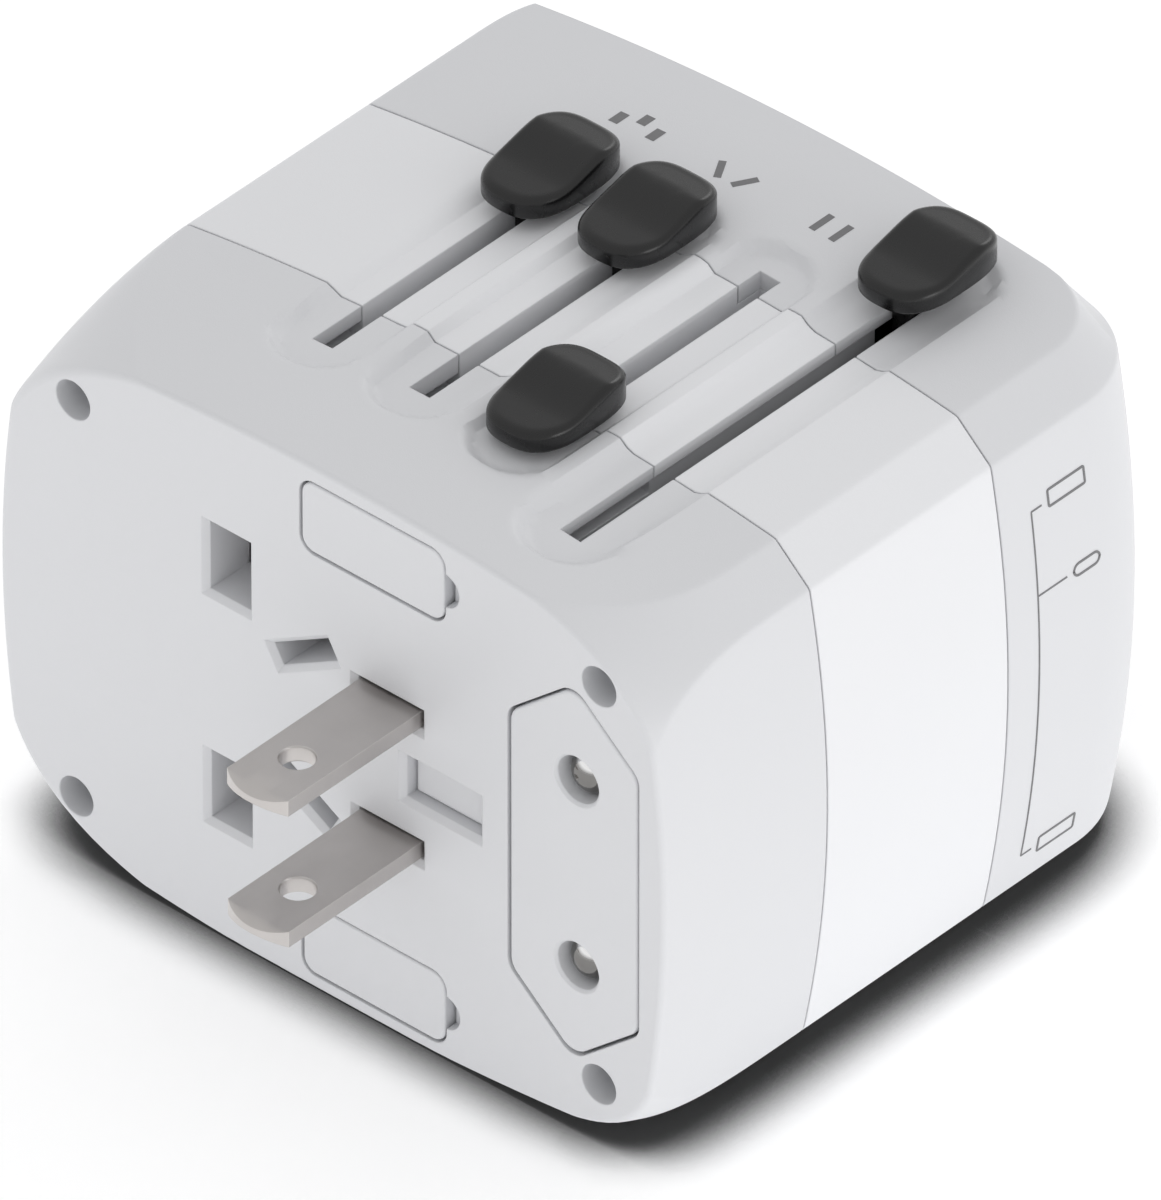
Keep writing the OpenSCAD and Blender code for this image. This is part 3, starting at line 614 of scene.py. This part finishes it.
def front_cutters():
    uk_lo, uk_hi = box_mm("uk_pins")
    earth_lo, earth_hi = box_mm("uk_earth_pin")
    usa_lo, usa_hi = box_mm("usa_blades")
    aus_lo, aus_hi = box_mm("aus_pins")
    aus_x = (aus_lo.x + aus_hi.x) / 2
    cutters = []
    for s in (1, -1):
        cutters.append(window((uk_lo.x + uk_hi.x) / 2, s * (uk_hi.z - UK_PIN_H / 2), *UK_OPENING))
        cutters.append(window(aus_x, s * AUS_HALF_PITCH, *AUS_OPENING, s * AUS_SLANT))
        cutters.append(window((usa_lo.x + usa_hi.x) / 2, s * (usa_hi.z - USA_THICK / 2), *USA_OPENING))
        upper = s > 0
        lo, hi = box_mm("fuse_cover" if upper else "spare_fuse_cover")
        cutters.append(prism("bay", cover_outline(0.22, upper), -0.5, 1.6))
        cutters.append(prism("notch", circle(hi.x, (lo.z + hi.z) / 2, NOTCH_R), -0.5, 1.1))
        for x in (-SCREW_X, SCREW_X):
            rings = [[(px, y, pz) for px, pz in circle(x, s * SCREW_Z, r)]
                     for y, r in ((-0.5, SCREW_R + SCREW_FLARE), (0.05, SCREW_R), (12, SCREW_R))]
            cutters.append(loft("screw_hole", rings))
    cutters.append(window((earth_lo.x + earth_hi.x) / 2, (earth_lo.z + earth_hi.z) / 2, *EARTH_OPENING))
    cutters.append(prism("block_hole", block_outline(0.25), -0.5, 24))
    return cutters


def front_cap():
    ys = [0, 0.02, 0.06, 0.12, 0.2, 0.3, RIM - 0.05, RIM, 0.65, RIM_LEFT, 1.3]
    ys += stations(1.7, SEAM_1 - 0.3, FINE) + [SEAM_1 - 0.1, SEAM_1 - 0.05, SEAM_1]
    shell = loft("case_front", [section(y, seam_lip(y, SEAM_1)) for y in ys])
    lo, hi = box_mm("eu_carriage")
    bay = box_solid("room", (lo.x - 0.3, WALL + 0.2, -14.5), (hi.x + 0.3, 6, 14.5))
    cut(shell, [cavity(5, 10, 2.5), cavity(9.9, SEAM_1 + 1), bay])
    cut(shell, slot_cutters() + front_cutters())
    finish_piece(shell, "housing", MATERIALS["case_plastic"], "case_plastic", "front_cap")


COMB_Y0, COMB_Y1, COMB_Z = 10.6, 45.2, 20.4  # the plate that lies under the slots


def middle_band():
    ys = [SEAM_1 + SEAM_GAP + g for g in (0, 0.05, 0.1)] + stations(SEAM_1 + 0.5, SEAM_2 - 0.5, FINE) \
        + [SEAM_2 - SEAM_GAP - g for g in (0.1, 0.05, 0)]
    shell = loft("case_band", [section(y, seam_lip(y, ys[0], ys[-1])) for y in ys])
    cut(shell, [cavity(SEAM_1 - 1, SEAM_2 + 1)])
    low, high = (SLOT_X[0] - 4.7, COMB_Y0, COMB_Z), (SLOT_X[3] - 1.6, COMB_Y1, INNER_TOP + 0.3)
    plate = box_solid("comb", low, high)
    cut(plate, [box_solid("step", (-40, 9, INNER_TOP - 1.7), (40, SEAM_1 + SEAM_GAP, 30)),
                box_solid("step", (-40, SEAM_2 - SEAM_GAP, INNER_TOP - 0.02), (40, 50, 30))])
    cut(shell, [plate], "UNION")
    cut(shell, slot_cutters(COMB_Z - 1.4))
    finish_piece(shell, "housing", MATERIALS["band_plastic"], "band_plastic", "middle_band")


def socket_outline(gap=0.0):
    lo, hi = box_mm("socket_face")
    return round_corners(rect(lo.x - gap, hi.x + gap, lo.z - gap, hi.z + gap), 2.9, 8)


USB_A_H, USB_A_R, USB_C_R, PORT_GAP = 12.6, 0.4, 1.4, 0.15


def port_places():
    """(x, z, width, height) of each port's mouth, top to bottom."""
    a_lo, a_hi = box_mm("usb_a_shells")
    c_lo, c_hi = box_mm("usb_c_shell")
    x = (a_lo.x + a_hi.x) / 2
    w, h = a_hi.x - a_lo.x, USB_A_H
    return [(x, a_hi.z - h / 2, w, h), (x, (c_lo.z + c_hi.z) / 2, c_hi.x - c_lo.x, c_hi.z - c_lo.z),
            (x, a_lo.z + h / 2, w, h)]


def rear_cap():
    ys = [SEAM_2, SEAM_2 + 0.05, SEAM_2 + 0.1] + stations(SEAM_2 + 0.4, DEPTH - 4, FINE)
    ys += [DEPTH - d for d in (3.65, 3.35, 3.1, 2.92, TAIL_BEVEL_D, 2.68, 2.5, 2.25, 2, 1.75, 1.5, 1.25, 1,
                               0.8, 0.6, 0.45, 0.32, 0.2, 0.12, 0.05, 0.01)]
    shell = loft("case_rear", [section(y, seam_lip(y, SEAM_2)) for y in ys])
    cut(shell, [cavity(SEAM_2 - 1, 52), cavity(51.9, 55, 2, 1), cavity(54.9, 57.5, 4, 3),
                cavity(57.4, DEPTH - WALL, 5, 5)])
    cutters = slot_cutters() + [prism("socket_hole", socket_outline(0.12), DEPTH - 4, DEPTH + 1)]
    for i, (x, z, w, h) in enumerate(port_places()):
        r = USB_C_R if i == 1 else USB_A_R
        mouth = rect(x - w / 2 - PORT_GAP, x + w / 2 + PORT_GAP, z - h / 2 - PORT_GAP, z + h / 2 + PORT_GAP)
        cutters.append(prism("port_hole", round_corners(mouth, r, 6), DEPTH - 4, DEPTH + 1))
    cut(shell, cutters)
    finish_piece(shell, "housing", MATERIALS["case_plastic"], "case_plastic", "rear_cap")


front_cap()
middle_band()
rear_cap()

# ---------- plug block, covers and pins ----------


def plate_with_rim(name, outline, y0, y1, rim):
    """Plate whose front edge at y0 is rolled over by rim."""
    steps = 5
    rings = []
    for k in range(steps + 1):
        turn = math.pi / 2 * k / steps
        y = y0 + rim * (1 - math.cos(turn))
        rings.append([(x, y, z) for x, z in grow(outline, -rim * (1 - math.sin(turn)))])
    rings.append([(x, y1, z) for x, z in outline])
    return loft(name, rings)


def plug_block():
    block = plate_with_rim("plug_block", block_outline(), 0, 20, 0.25)
    lo, hi = box_mm("eu_pins")
    x, z = (lo.x + hi.x) / 2, hi.z - 2
    bores = []
    for s in (1, -1):
        rings = [[(px, y, pz) for px, pz in circle(x, s * z, r)]
                 for y, r in ((-0.6, 2.9), (0.25, 2.12), (21, 2.12))]
        bores.append(loft("bore", rings))
    cut(block, bores)
    finish_piece(block, "eu_block", MATERIALS["case_plastic"], "case_plastic", "eu_plug_body")


plug_block()


def fuse_door(name, upper, body, node):
    door = plate_with_rim(name, cover_outline(0, upper), 0, 1.5, 0.2)
    finish_piece(door, body, MATERIALS["case_plastic"], "case_plastic", node)


fuse_door("fuse_door", True, "fuse_door", "fuse_cover")
fuse_door("spare_fuse_door", False, "spare_fuse_door", "spare_fuse_cover")


def blade(x, z, width, thick, y_tip, y_end):
    """Flat blade: rounded nose with a bevelled top, hole near the tip."""
    nose, steps = 1.05, 24
    bow = ((width / 2) ** 2 + nose**2) / (2 * nose)
    across = [-width / 2 + width * i / steps for i in range(steps + 1)]
    rows = []
    for u in across:
        front = y_tip + bow - math.sqrt(bow**2 - u * u)
        shoulder = y_tip + nose
        drop = 0.45 * (shoulder - front) / nose
        top, low = z + thick / 2, z - thick / 2
        rows.append([(x + u, front, low + drop), (x + u, front, top - drop), (x + u, shoulder + 0.02, top),
                     (x + u, y_end, top), (x + u, y_end, low), (x + u, shoulder + 0.02, low)])
    body = loft("blade", rows)
    hole_y = y_tip + 5.6
    # circle() is drawn flat on the blade, so its second coordinate is the depth
    rings = [[(px, py, z + dz) for px, py in circle(x, hole_y, r)]
             for dz, r in ((-thick, 2.05), (-thick / 2 + 0.12, 1.45), (thick / 2 - 0.12, 1.45), (thick, 2.05))]
    cut(body, [loft("blade_hole", rings)])
    return body


def usa_blades():
    lo, hi = box_mm("usa_blades")
    x = (lo.x + hi.x) / 2
    heights = (hi.z - USA_THICK / 2, lo.z + USA_THICK / 2)
    blades = [blade(x, z, hi.x - lo.x, USA_THICK, lo.y, hi.y) for z in heights]
    finish_piece(joined("flat_blades", blades), "usa_slider", MATERIALS["pin_metal"], "pin_metal", "usa_blades")


def tapered_pin(outline, y_tip, y_end, chamfer):
    rings = [[(x, y_tip, z) for x, z in grow(outline, -chamfer)],
             [(x, y_tip + chamfer * 0.35, z) for x, z in grow(outline, -chamfer * 0.45)],
             [(x, y_tip + chamfer, z) for x, z in outline], [(x, y_end, z) for x, z in outline]]
    return loft("pin", rings)


def uk_pins():
    lo, hi = box_mm("uk_pins")
    half = UK_PIN_H / 2
    pins = [tapered_pin(rect(lo.x, hi.x, z - half, z + half), lo.y, hi.y, 0.6)
            for z in (hi.z - half, lo.z + half)]
    finish_piece(joined("rectangular_pins", pins), "uk_slider", MATERIALS["pin_metal"], "pin_metal", "uk_pins")
    lo, hi = box_mm("uk_earth_pin")
    pin = tapered_pin(rect(lo.x, hi.x, lo.z, hi.z), EARTH_RECESS, hi.y, 0.4)
    pin.name = "earth_pin"
    finish_piece(pin, "uk_slider", MATERIALS["case_plastic"], "case_plastic", "uk_earth_pin")


def aus_pins():
    lo, hi = box_mm("aus_pins")
    x = (lo.x + hi.x) / 2
    flat = rect(-AUS_HALF_W, AUS_HALF_W, -AUS_HALF_THICK, AUS_HALF_THICK)
    pins = [tapered_pin(turned(flat, x, s * AUS_HALF_PITCH, s * AUS_SLANT), lo.y, hi.y, 0.35) for s in (1, -1)]
    finish_piece(joined("slanted_pins", pins), "aus_slider", MATERIALS["pin_metal"], "pin_metal", "aus_pins")


def eu_pins():
    lo, hi = box_mm("eu_pins")
    r = (hi.x - lo.x) / 2
    x, pins = (lo.x + hi.x) / 2, []
    around = [2 * math.pi * k / 40 for k in range(40)]
    for z in (hi.z - r, lo.z + r):
        rings = []
        for a in [0.03] + [math.pi / 2 * k / 12 for k in range(1, 13)]:
            y, out = PIN_RECESS + r - r * math.cos(a), r * math.sin(a)
            rings.append([(x + out * math.cos(b), y, z + out * math.sin(b)) for b in around])
        rings.append([(px, hi.y, pz) for px, _, pz in rings[-1]])
        pins.append(loft("round_pin", rings))
    finish_piece(joined("round_pins", pins), "eu_slider", MATERIALS["round_pin_metal"], "round_pin_metal",
                        "eu_pins")


usa_blades()
uk_pins()
aus_pins()
eu_pins()

# ---------- knobs ----------

# how far a knob's underside stands over its groove's floor, which differs from knob to knob in the photo
KNOB_LIFT = {"uk_knob": 1.35, "aus_knob": 1.25, "usa_knob": 0.9, "eu_knob": 2.2}
PAD_H, CREST_H, BACK_H = 1.9, 3.05, 2.35  # a knob's heights: dished front, crest, rear edge
PAD_END, RIDGE = -0.4, 0.42  # where the pad ends and the crest stands, in half lengths


def knob_height(t):
    """Height of a knob's top over its underside at t half lengths behind its middle."""
    if t > RIDGE:
        return mix(CREST_H, BACK_H, (t - RIDGE) / (1 - RIDGE))
    climb = min(max((t - PAD_END) / (RIDGE - PAD_END), 0.0), 1.0)
    return mix(PAD_H, CREST_H, (climb**1.3 + smooth(climb)) / 2)


def knob(node, body, name):
    lo, hi = box_mm(node)
    cx, cy = (lo.x + hi.x) / 2, (lo.y + hi.y) / 2
    half_w, half_l = (hi.x - lo.x) / 2, (hi.y - lo.y) / 2
    base = top_z(cx) - GROOVE_DEPTH + KNOB_LIFT[node]
    round_r, around = 0.62, 96

    def rim(a, scale):
        c, s = math.cos(a), math.sin(a)
        power = mix(3.5, 2.7, smooth(0.5 - s / 2))
        k = (abs(c) ** power + abs(s) ** power) ** (-1 / power)
        return c * k * half_w * scale, s * k * half_l * scale

    angles = [2 * math.pi * i / around for i in range(around)]
    rings = []
    # underside, a small roll, the wall, the rounded rim, then the top towards the middle
    rings.append([(cx + x, cy + y, base) for x, y in [rim(a, 0.93) for a in angles]])
    rings.append([(cx + x, cy + y, base + 0.06) for x, y in [rim(a, 0.975) for a in angles]])
    rings.append([(cx + x, cy + y, base + 0.25) for x, y in [rim(a, 1.0) for a in angles]])
    edge = []
    for a in angles:
        x, y = rim(a, 1 - round_r / half_w)
        edge.append((x, y, knob_height(y / half_l)))
    for k in range(9):
        turn = math.pi / 2 * k / 8
        ring = []
        for a, (ex, ey, eh) in zip(angles, edge):
            ox, oy = rim(a, 1.0)
            t = math.cos(turn)
            ring.append((cx + mix(ex, ox, t), cy + mix(ey, oy, t), base + eh - round_r * (1 - math.sin(turn))))
        rings.append(ring)
    for scale in (0.94, 0.86, 0.76, 0.64, 0.5, 0.36, 0.22, 0.1, 0.03):
        ring = []
        for a in angles:
            x, y = rim(a, (1 - round_r / half_w) * scale)
            ring.append((cx + x, cy + y, base + knob_height(y / half_l)))
        rings.append(ring)
    cap = loft("cap", rings)
    stem = prism("stem", rect(-0.95 + cx, 0.95 + cx, lo.z, base + 0.1), cy - 2.8, cy + 2.8)
    finish_piece(joined(name, [cap, stem]), body, MATERIALS["knob_plastic"], "knob_plastic", node, angle=50,
                        weighted=False)


for knob_node, knob_body in zip(KNOBS, ("uk_slider", "aus_slider", "usa_slider", "eu_slider")):
    knob(knob_node, knob_body, "thumb_" + knob_node)

# ---------- socket and ports ----------


POLE_W, POLE_H = 2.2, 3.5  # half sizes of the openings for rectangular pins
BLADE_W, BLADE_H = 3.7, 1.1  # half sizes of the openings for flat and slanted pins
ROUND_PIN_Z, ROUND_HOLE_R = 9.5, 2.6


def socket_face():
    lo, hi = box_mm("socket_face")
    face = plate_with_rim("socket_plate", socket_outline(), 0, hi.y - lo.y, 0.2)
    # the plate is drawn facing -Y, and is turned to face the rear
    for v in face.data.vertices:
        v.co.y = place(0, hi.y, 0).y + place(0, 0, 0).y - v.co.y
    fix_normals(face)
    pole_x = (box_mm("live_contact")[0].x + box_mm("live_contact")[1].x) / 2
    cutters = []
    y0, y1 = lo.y - 1, hi.y + 1
    for s in (1, -1):
        pole_z, flat_z = s * UK_PITCH / 2, s * USA_PITCH / 2
        bridge_z = sorted((s * 5.5, s * 9))
        flat = rect(pole_x - BLADE_W, pole_x + BLADE_W, flat_z - BLADE_H, flat_z + BLADE_H)
        slant = turned(rect(-BLADE_W, BLADE_W, -BLADE_H, BLADE_H), pole_x, s * AUS_HALF_PITCH, s * AUS_SLANT)
        pole = box_solid("pole", (pole_x - POLE_W, y0, pole_z - POLE_H), (pole_x + POLE_W, y1, pole_z + POLE_H))
        parts = [prism("round", circle(pole_x, s * ROUND_PIN_Z, ROUND_HOLE_R), y0, y1),
                 prism("flat", flat, y0, y1),
                 prism("slant", slant, y0, y1),
                 box_solid("bridge", (pole_x - POLE_W, y0, bridge_z[0]), (pole_x + POLE_W, y1, bridge_z[1]))]
        cut(pole, parts, "UNION")
        cutters.append(pole)
    earth_x = pole_x + UK_PITCH
    cutters.append(prism("earth", rect(earth_x - 4.3, earth_x + 4.3, -2.3, 2.3), y0, y1))
    cutters.append(prism("earth_round", circle(pole_x + 11.9, 0, ROUND_HOLE_R), y0, y1))
    cut(face, cutters)
    finish_piece(face, "housing", MATERIALS["socket_plastic"], "socket_plastic", "socket_face")


socket_face()

# ---------- printed marks ----------

INK_T = 0.03


def thin_plate(verts):
    """Closed plate; verts holds the corners of its lower outline, then those of its upper one."""
    n = len(verts) // 2
    faces = [tuple(range(n - 1, -1, -1)), tuple(range(n, 2 * n))]
    faces += [(i, (i + 1) % n, n + (i + 1) % n, n + i) for i in range(n)]
    obj = add_object("mark", verts, faces)
    fix_normals(obj)
    return obj


def top_plate(outline):
    """Thin printed shape on the case top; outline is a list of (x, y)."""
    return thin_plate([(x, y, top_z(x) + dz) for dz in (-0.02, INK_T) for x, y in outline])


def strip(x, y, w, h, degrees=0.0):
    return turned(rect(-w / 2, w / 2, -h / 2, h / 2), x, y, degrees)


def pin_marks():
    """One generic plug-face sign behind each of the three short slots."""
    y = 49.7
    signs = {0: [(-1.9, 0, 1.5, 0.9, 90), (1.9, 0, 1.5, 0.9, 90), (0, 1.0, 0.9, 1.3, 0)],
             1: [(-1.3, -0.2, 0.62, 2.2, 30), (1.3, -0.2, 0.62, 2.2, -30)],
             2: [(-1.0, 0, 0.62, 2.4, 0), (1.0, 0, 0.62, 2.4, 0)]}
    plates = []
    for i, marks in signs.items():
        for dx, dy, w, h, turn in marks:
            plates.append(top_plate(strip(SLOT_X[i] + dx, y + dy, w, h, turn)))
    finish_piece(joined("pin_marks", plates), "housing", MATERIALS["ink"], "case_plastic", weighted=False)


pin_marks()


def side_plate(outline):
    """Thin printed shape on the right side; outline is a list of (y, z)."""
    def x_at(y, z):
        return CASE_X + side_at(z, drawn_in(DEPTH - y, CORNER_R, CORNER_R))
    return thin_plate([(x_at(y, z) + dx, y, z) for dx in (-0.03, INK_T) for y, z in outline])


def side_line(y0, z0, y1, z1, w=0.13, pieces=12):
    plates = []
    for k in range(pieces):
        a, b = k / pieces, (k + 1) / pieces
        ya, yb, za, zb = mix(y0, y1, a), mix(y0, y1, b), mix(z0, z1, a), mix(z0, z1, b)
        dy, dz = (w / 2, 0) if abs(z1 - z0) > abs(y1 - y0) else (0, w / 2)
        corners = [(ya - dy, za - dz), (ya + dy, za + dz), (yb + dy, zb + dz), (yb - dy, zb - dz)]
        plates.append(side_plate(corners))
    return plates


def port_marks():
    """Leader lines on the right side, ending in plain signs for the ports."""
    y, top, branch, low = 43.6, 14.4, 6.6, -19.5
    plates = side_line(y, top, y, low, pieces=20) + side_line(y, branch, y + 3.4, branch, pieces=6)
    plates += side_line(y, top, y + 1.2, top, pieces=2) + side_line(y, low, y + 1.2, low, pieces=2)
    for z, r, w, h in ((top + 0.2, 0.15, 4.4, 1.7), (branch, 0.6, 3.2, 1.3), (low, 0.15, 4.4, 1.7)):
        y0 = y + (1.9 if w > 4 else 4.1)
        outline = [(y0, z - h / 2), (y0 + w, z - h / 2), (y0 + w, z + h / 2), (y0, z + h / 2)]
        outer = round_corners(outline, r + 0.1, 5)
        inner = grow(outer, -0.2)
        for i in range(len(outer)):
            j = (i + 1) % len(outer)
            plates.append(side_plate([outer[i], outer[j], inner[j], inner[i]]))
    finish_piece(joined("port_marks", plates), "housing", MATERIALS["ink"], "case_plastic", weighted=False)


port_marks()

# ---------- carried-over CAD nodes ----------

for part in frame["record"]["subparts"]:
    node = NODES[part["node"]]
    node.data.materials.clear()
    node.data.materials.append(MATERIALS[part["material_slot"]])

# ---------- floor, light and camera ----------


FLOOR_GAIN = 1.3  # the seen floor comes out just white


def floor():
    mesh = bpy.data.meshes.new("floor")
    s = 3.0
    mesh.from_pydata([(-s, -s, 0), (s, -s, 0), (s, s, 0), (-s, s, 0)], [], [(0, 1, 2, 3)])
    obj = bpy.data.objects.new("floor", mesh)
    bpy.context.scene.collection.objects.link(obj)
    obj.location.z = cad_box[0].z - 0.0002
    material = bpy.data.materials.new("floor")
    material.use_nodes = True
    tree = material.node_tree
    tree.nodes.remove(tree.nodes["Principled BSDF"])
    out = tree.nodes["Material Output"]
    path = tree.nodes.new("ShaderNodeLightPath")
    seen = tree.nodes.new("ShaderNodeBsdfDiffuse")
    # painted contact shadow: the colour the camera sees is darkened by ambient occlusion near the case, on top
    # of the floor's real shading
    shade = tree.nodes.new("ShaderNodeAmbientOcclusion")
    shade.samples = 24
    shade.inputs["Distance"].default_value = 0.0085
    contact = tree.nodes.new("ShaderNodeMapRange")
    contact.interpolation_type = "SMOOTHSTEP"
    contact.inputs["From Min"].default_value = 0.42
    contact.inputs["From Max"].default_value = 0.9
    contact.inputs["To Min"].default_value = 0.06
    contact.inputs["To Max"].default_value = FLOOR_GAIN
    tree.links.new(shade.outputs["AO"], contact.inputs["Value"])
    tree.links.new(contact.outputs["Result"], seen.inputs["Color"])
    bounce = tree.nodes.new("ShaderNodeBsdfDiffuse")
    bounce.inputs["Color"].default_value = (1.4, 1.4, 1.4, 1)
    pick = tree.nodes.new("ShaderNodeMixShader")
    tree.links.new(path.outputs["Is Camera Ray"], pick.inputs["Fac"])
    tree.links.new(bounce.outputs[0], pick.inputs[1])
    tree.links.new(seen.outputs[0], pick.inputs[2])
    tree.links.new(pick.outputs[0], out.inputs["Surface"])
    mesh.materials.append(material)


def world(strength):
    w = bpy.data.worlds.new("studio")
    bpy.context.scene.world = w
    w.use_nodes = True
    tree = w.node_tree
    background = tree.nodes["Background"]
    background.inputs["Strength"].default_value = strength
    background.inputs["Color"].default_value = (1, 1, 1, 1)
    path = tree.nodes.new("ShaderNodeLightPath")
    plain = tree.nodes.new("ShaderNodeBackground")
    plain.inputs["Color"].default_value = (1, 1, 1, 1)
    plain.inputs["Strength"].default_value = 1.0
    pick = tree.nodes.new("ShaderNodeMixShader")
    tree.links.new(path.outputs["Is Camera Ray"], pick.inputs["Fac"])
    tree.links.new(background.outputs[0], pick.inputs[1])
    tree.links.new(plain.outputs[0], pick.inputs[2])
    tree.links.new(pick.outputs[0], tree.nodes["World Output"].inputs["Surface"])


def softbox(name, azimuth, elevation, distance, size, power):
    """Square area light aimed at the object; azimuth 0 stands in front of the plug face."""
    light = bpy.data.lights.new(name, "AREA")
    light.shape, light.size, light.energy = "SQUARE", size, power
    obj = bpy.data.objects.new(name, light)
    bpy.context.scene.collection.objects.link(obj)
    a, e = math.radians(azimuth), math.radians(elevation)
    back = Vector((math.sin(a) * math.cos(e), -math.cos(a) * math.cos(e), math.sin(e)))
    obj.location = Vector((0, 0, 0.026)) + back * distance
    obj.rotation_mode = "QUATERNION"
    obj.rotation_quaternion = (-back).to_track_quat("-Z", "Y")


CAMERA_AZIMUTH, CAMERA_ELEVATION = 41.93, 37.28
LENS, SENSOR, LONG_SIDE = 1357.4, 36.0, 0.09264  # LONG_SIDE is the frame's longer side at the aim, in metres
AIM_RIGHT, AIM_UP = 0.018913, 0.010965  # the aim from the plug face's middle


def camera():
    data = bpy.data.cameras.new("camera")
    data.lens, data.sensor_width = LENS, SENSOR
    cam = bpy.data.objects.new("camera", data)
    bpy.context.scene.collection.objects.link(cam)
    a, e = math.radians(CAMERA_AZIMUTH), math.radians(CAMERA_ELEVATION)
    back = Vector((math.sin(a) * math.cos(e), -math.cos(a) * math.cos(e), math.sin(e)))
    right = Vector((math.cos(a), math.sin(a), 0))
    up = back.cross(right)
    aim = place(0, 0, 0) + right * AIM_RIGHT + up * AIM_UP
    distance = LONG_SIDE * LENS / SENSOR
    cam.location = aim + back * distance
    cam.rotation_mode = "QUATERNION"
    cam.rotation_quaternion = (-back).to_track_quat("-Z", "Y")
    data.clip_start, data.clip_end = 0.1, distance * 3
    bpy.context.scene.camera = cam


floor()
world(0.79)
softbox("right_light", azimuth=95, elevation=5, distance=1.6, size=0.6, power=4.2)
softbox("rear_light", azimuth=195, elevation=28, distance=1.6, size=0.5, power=1.6)
camera()
bpy.context.scene.view_settings.view_transform = "Standard"
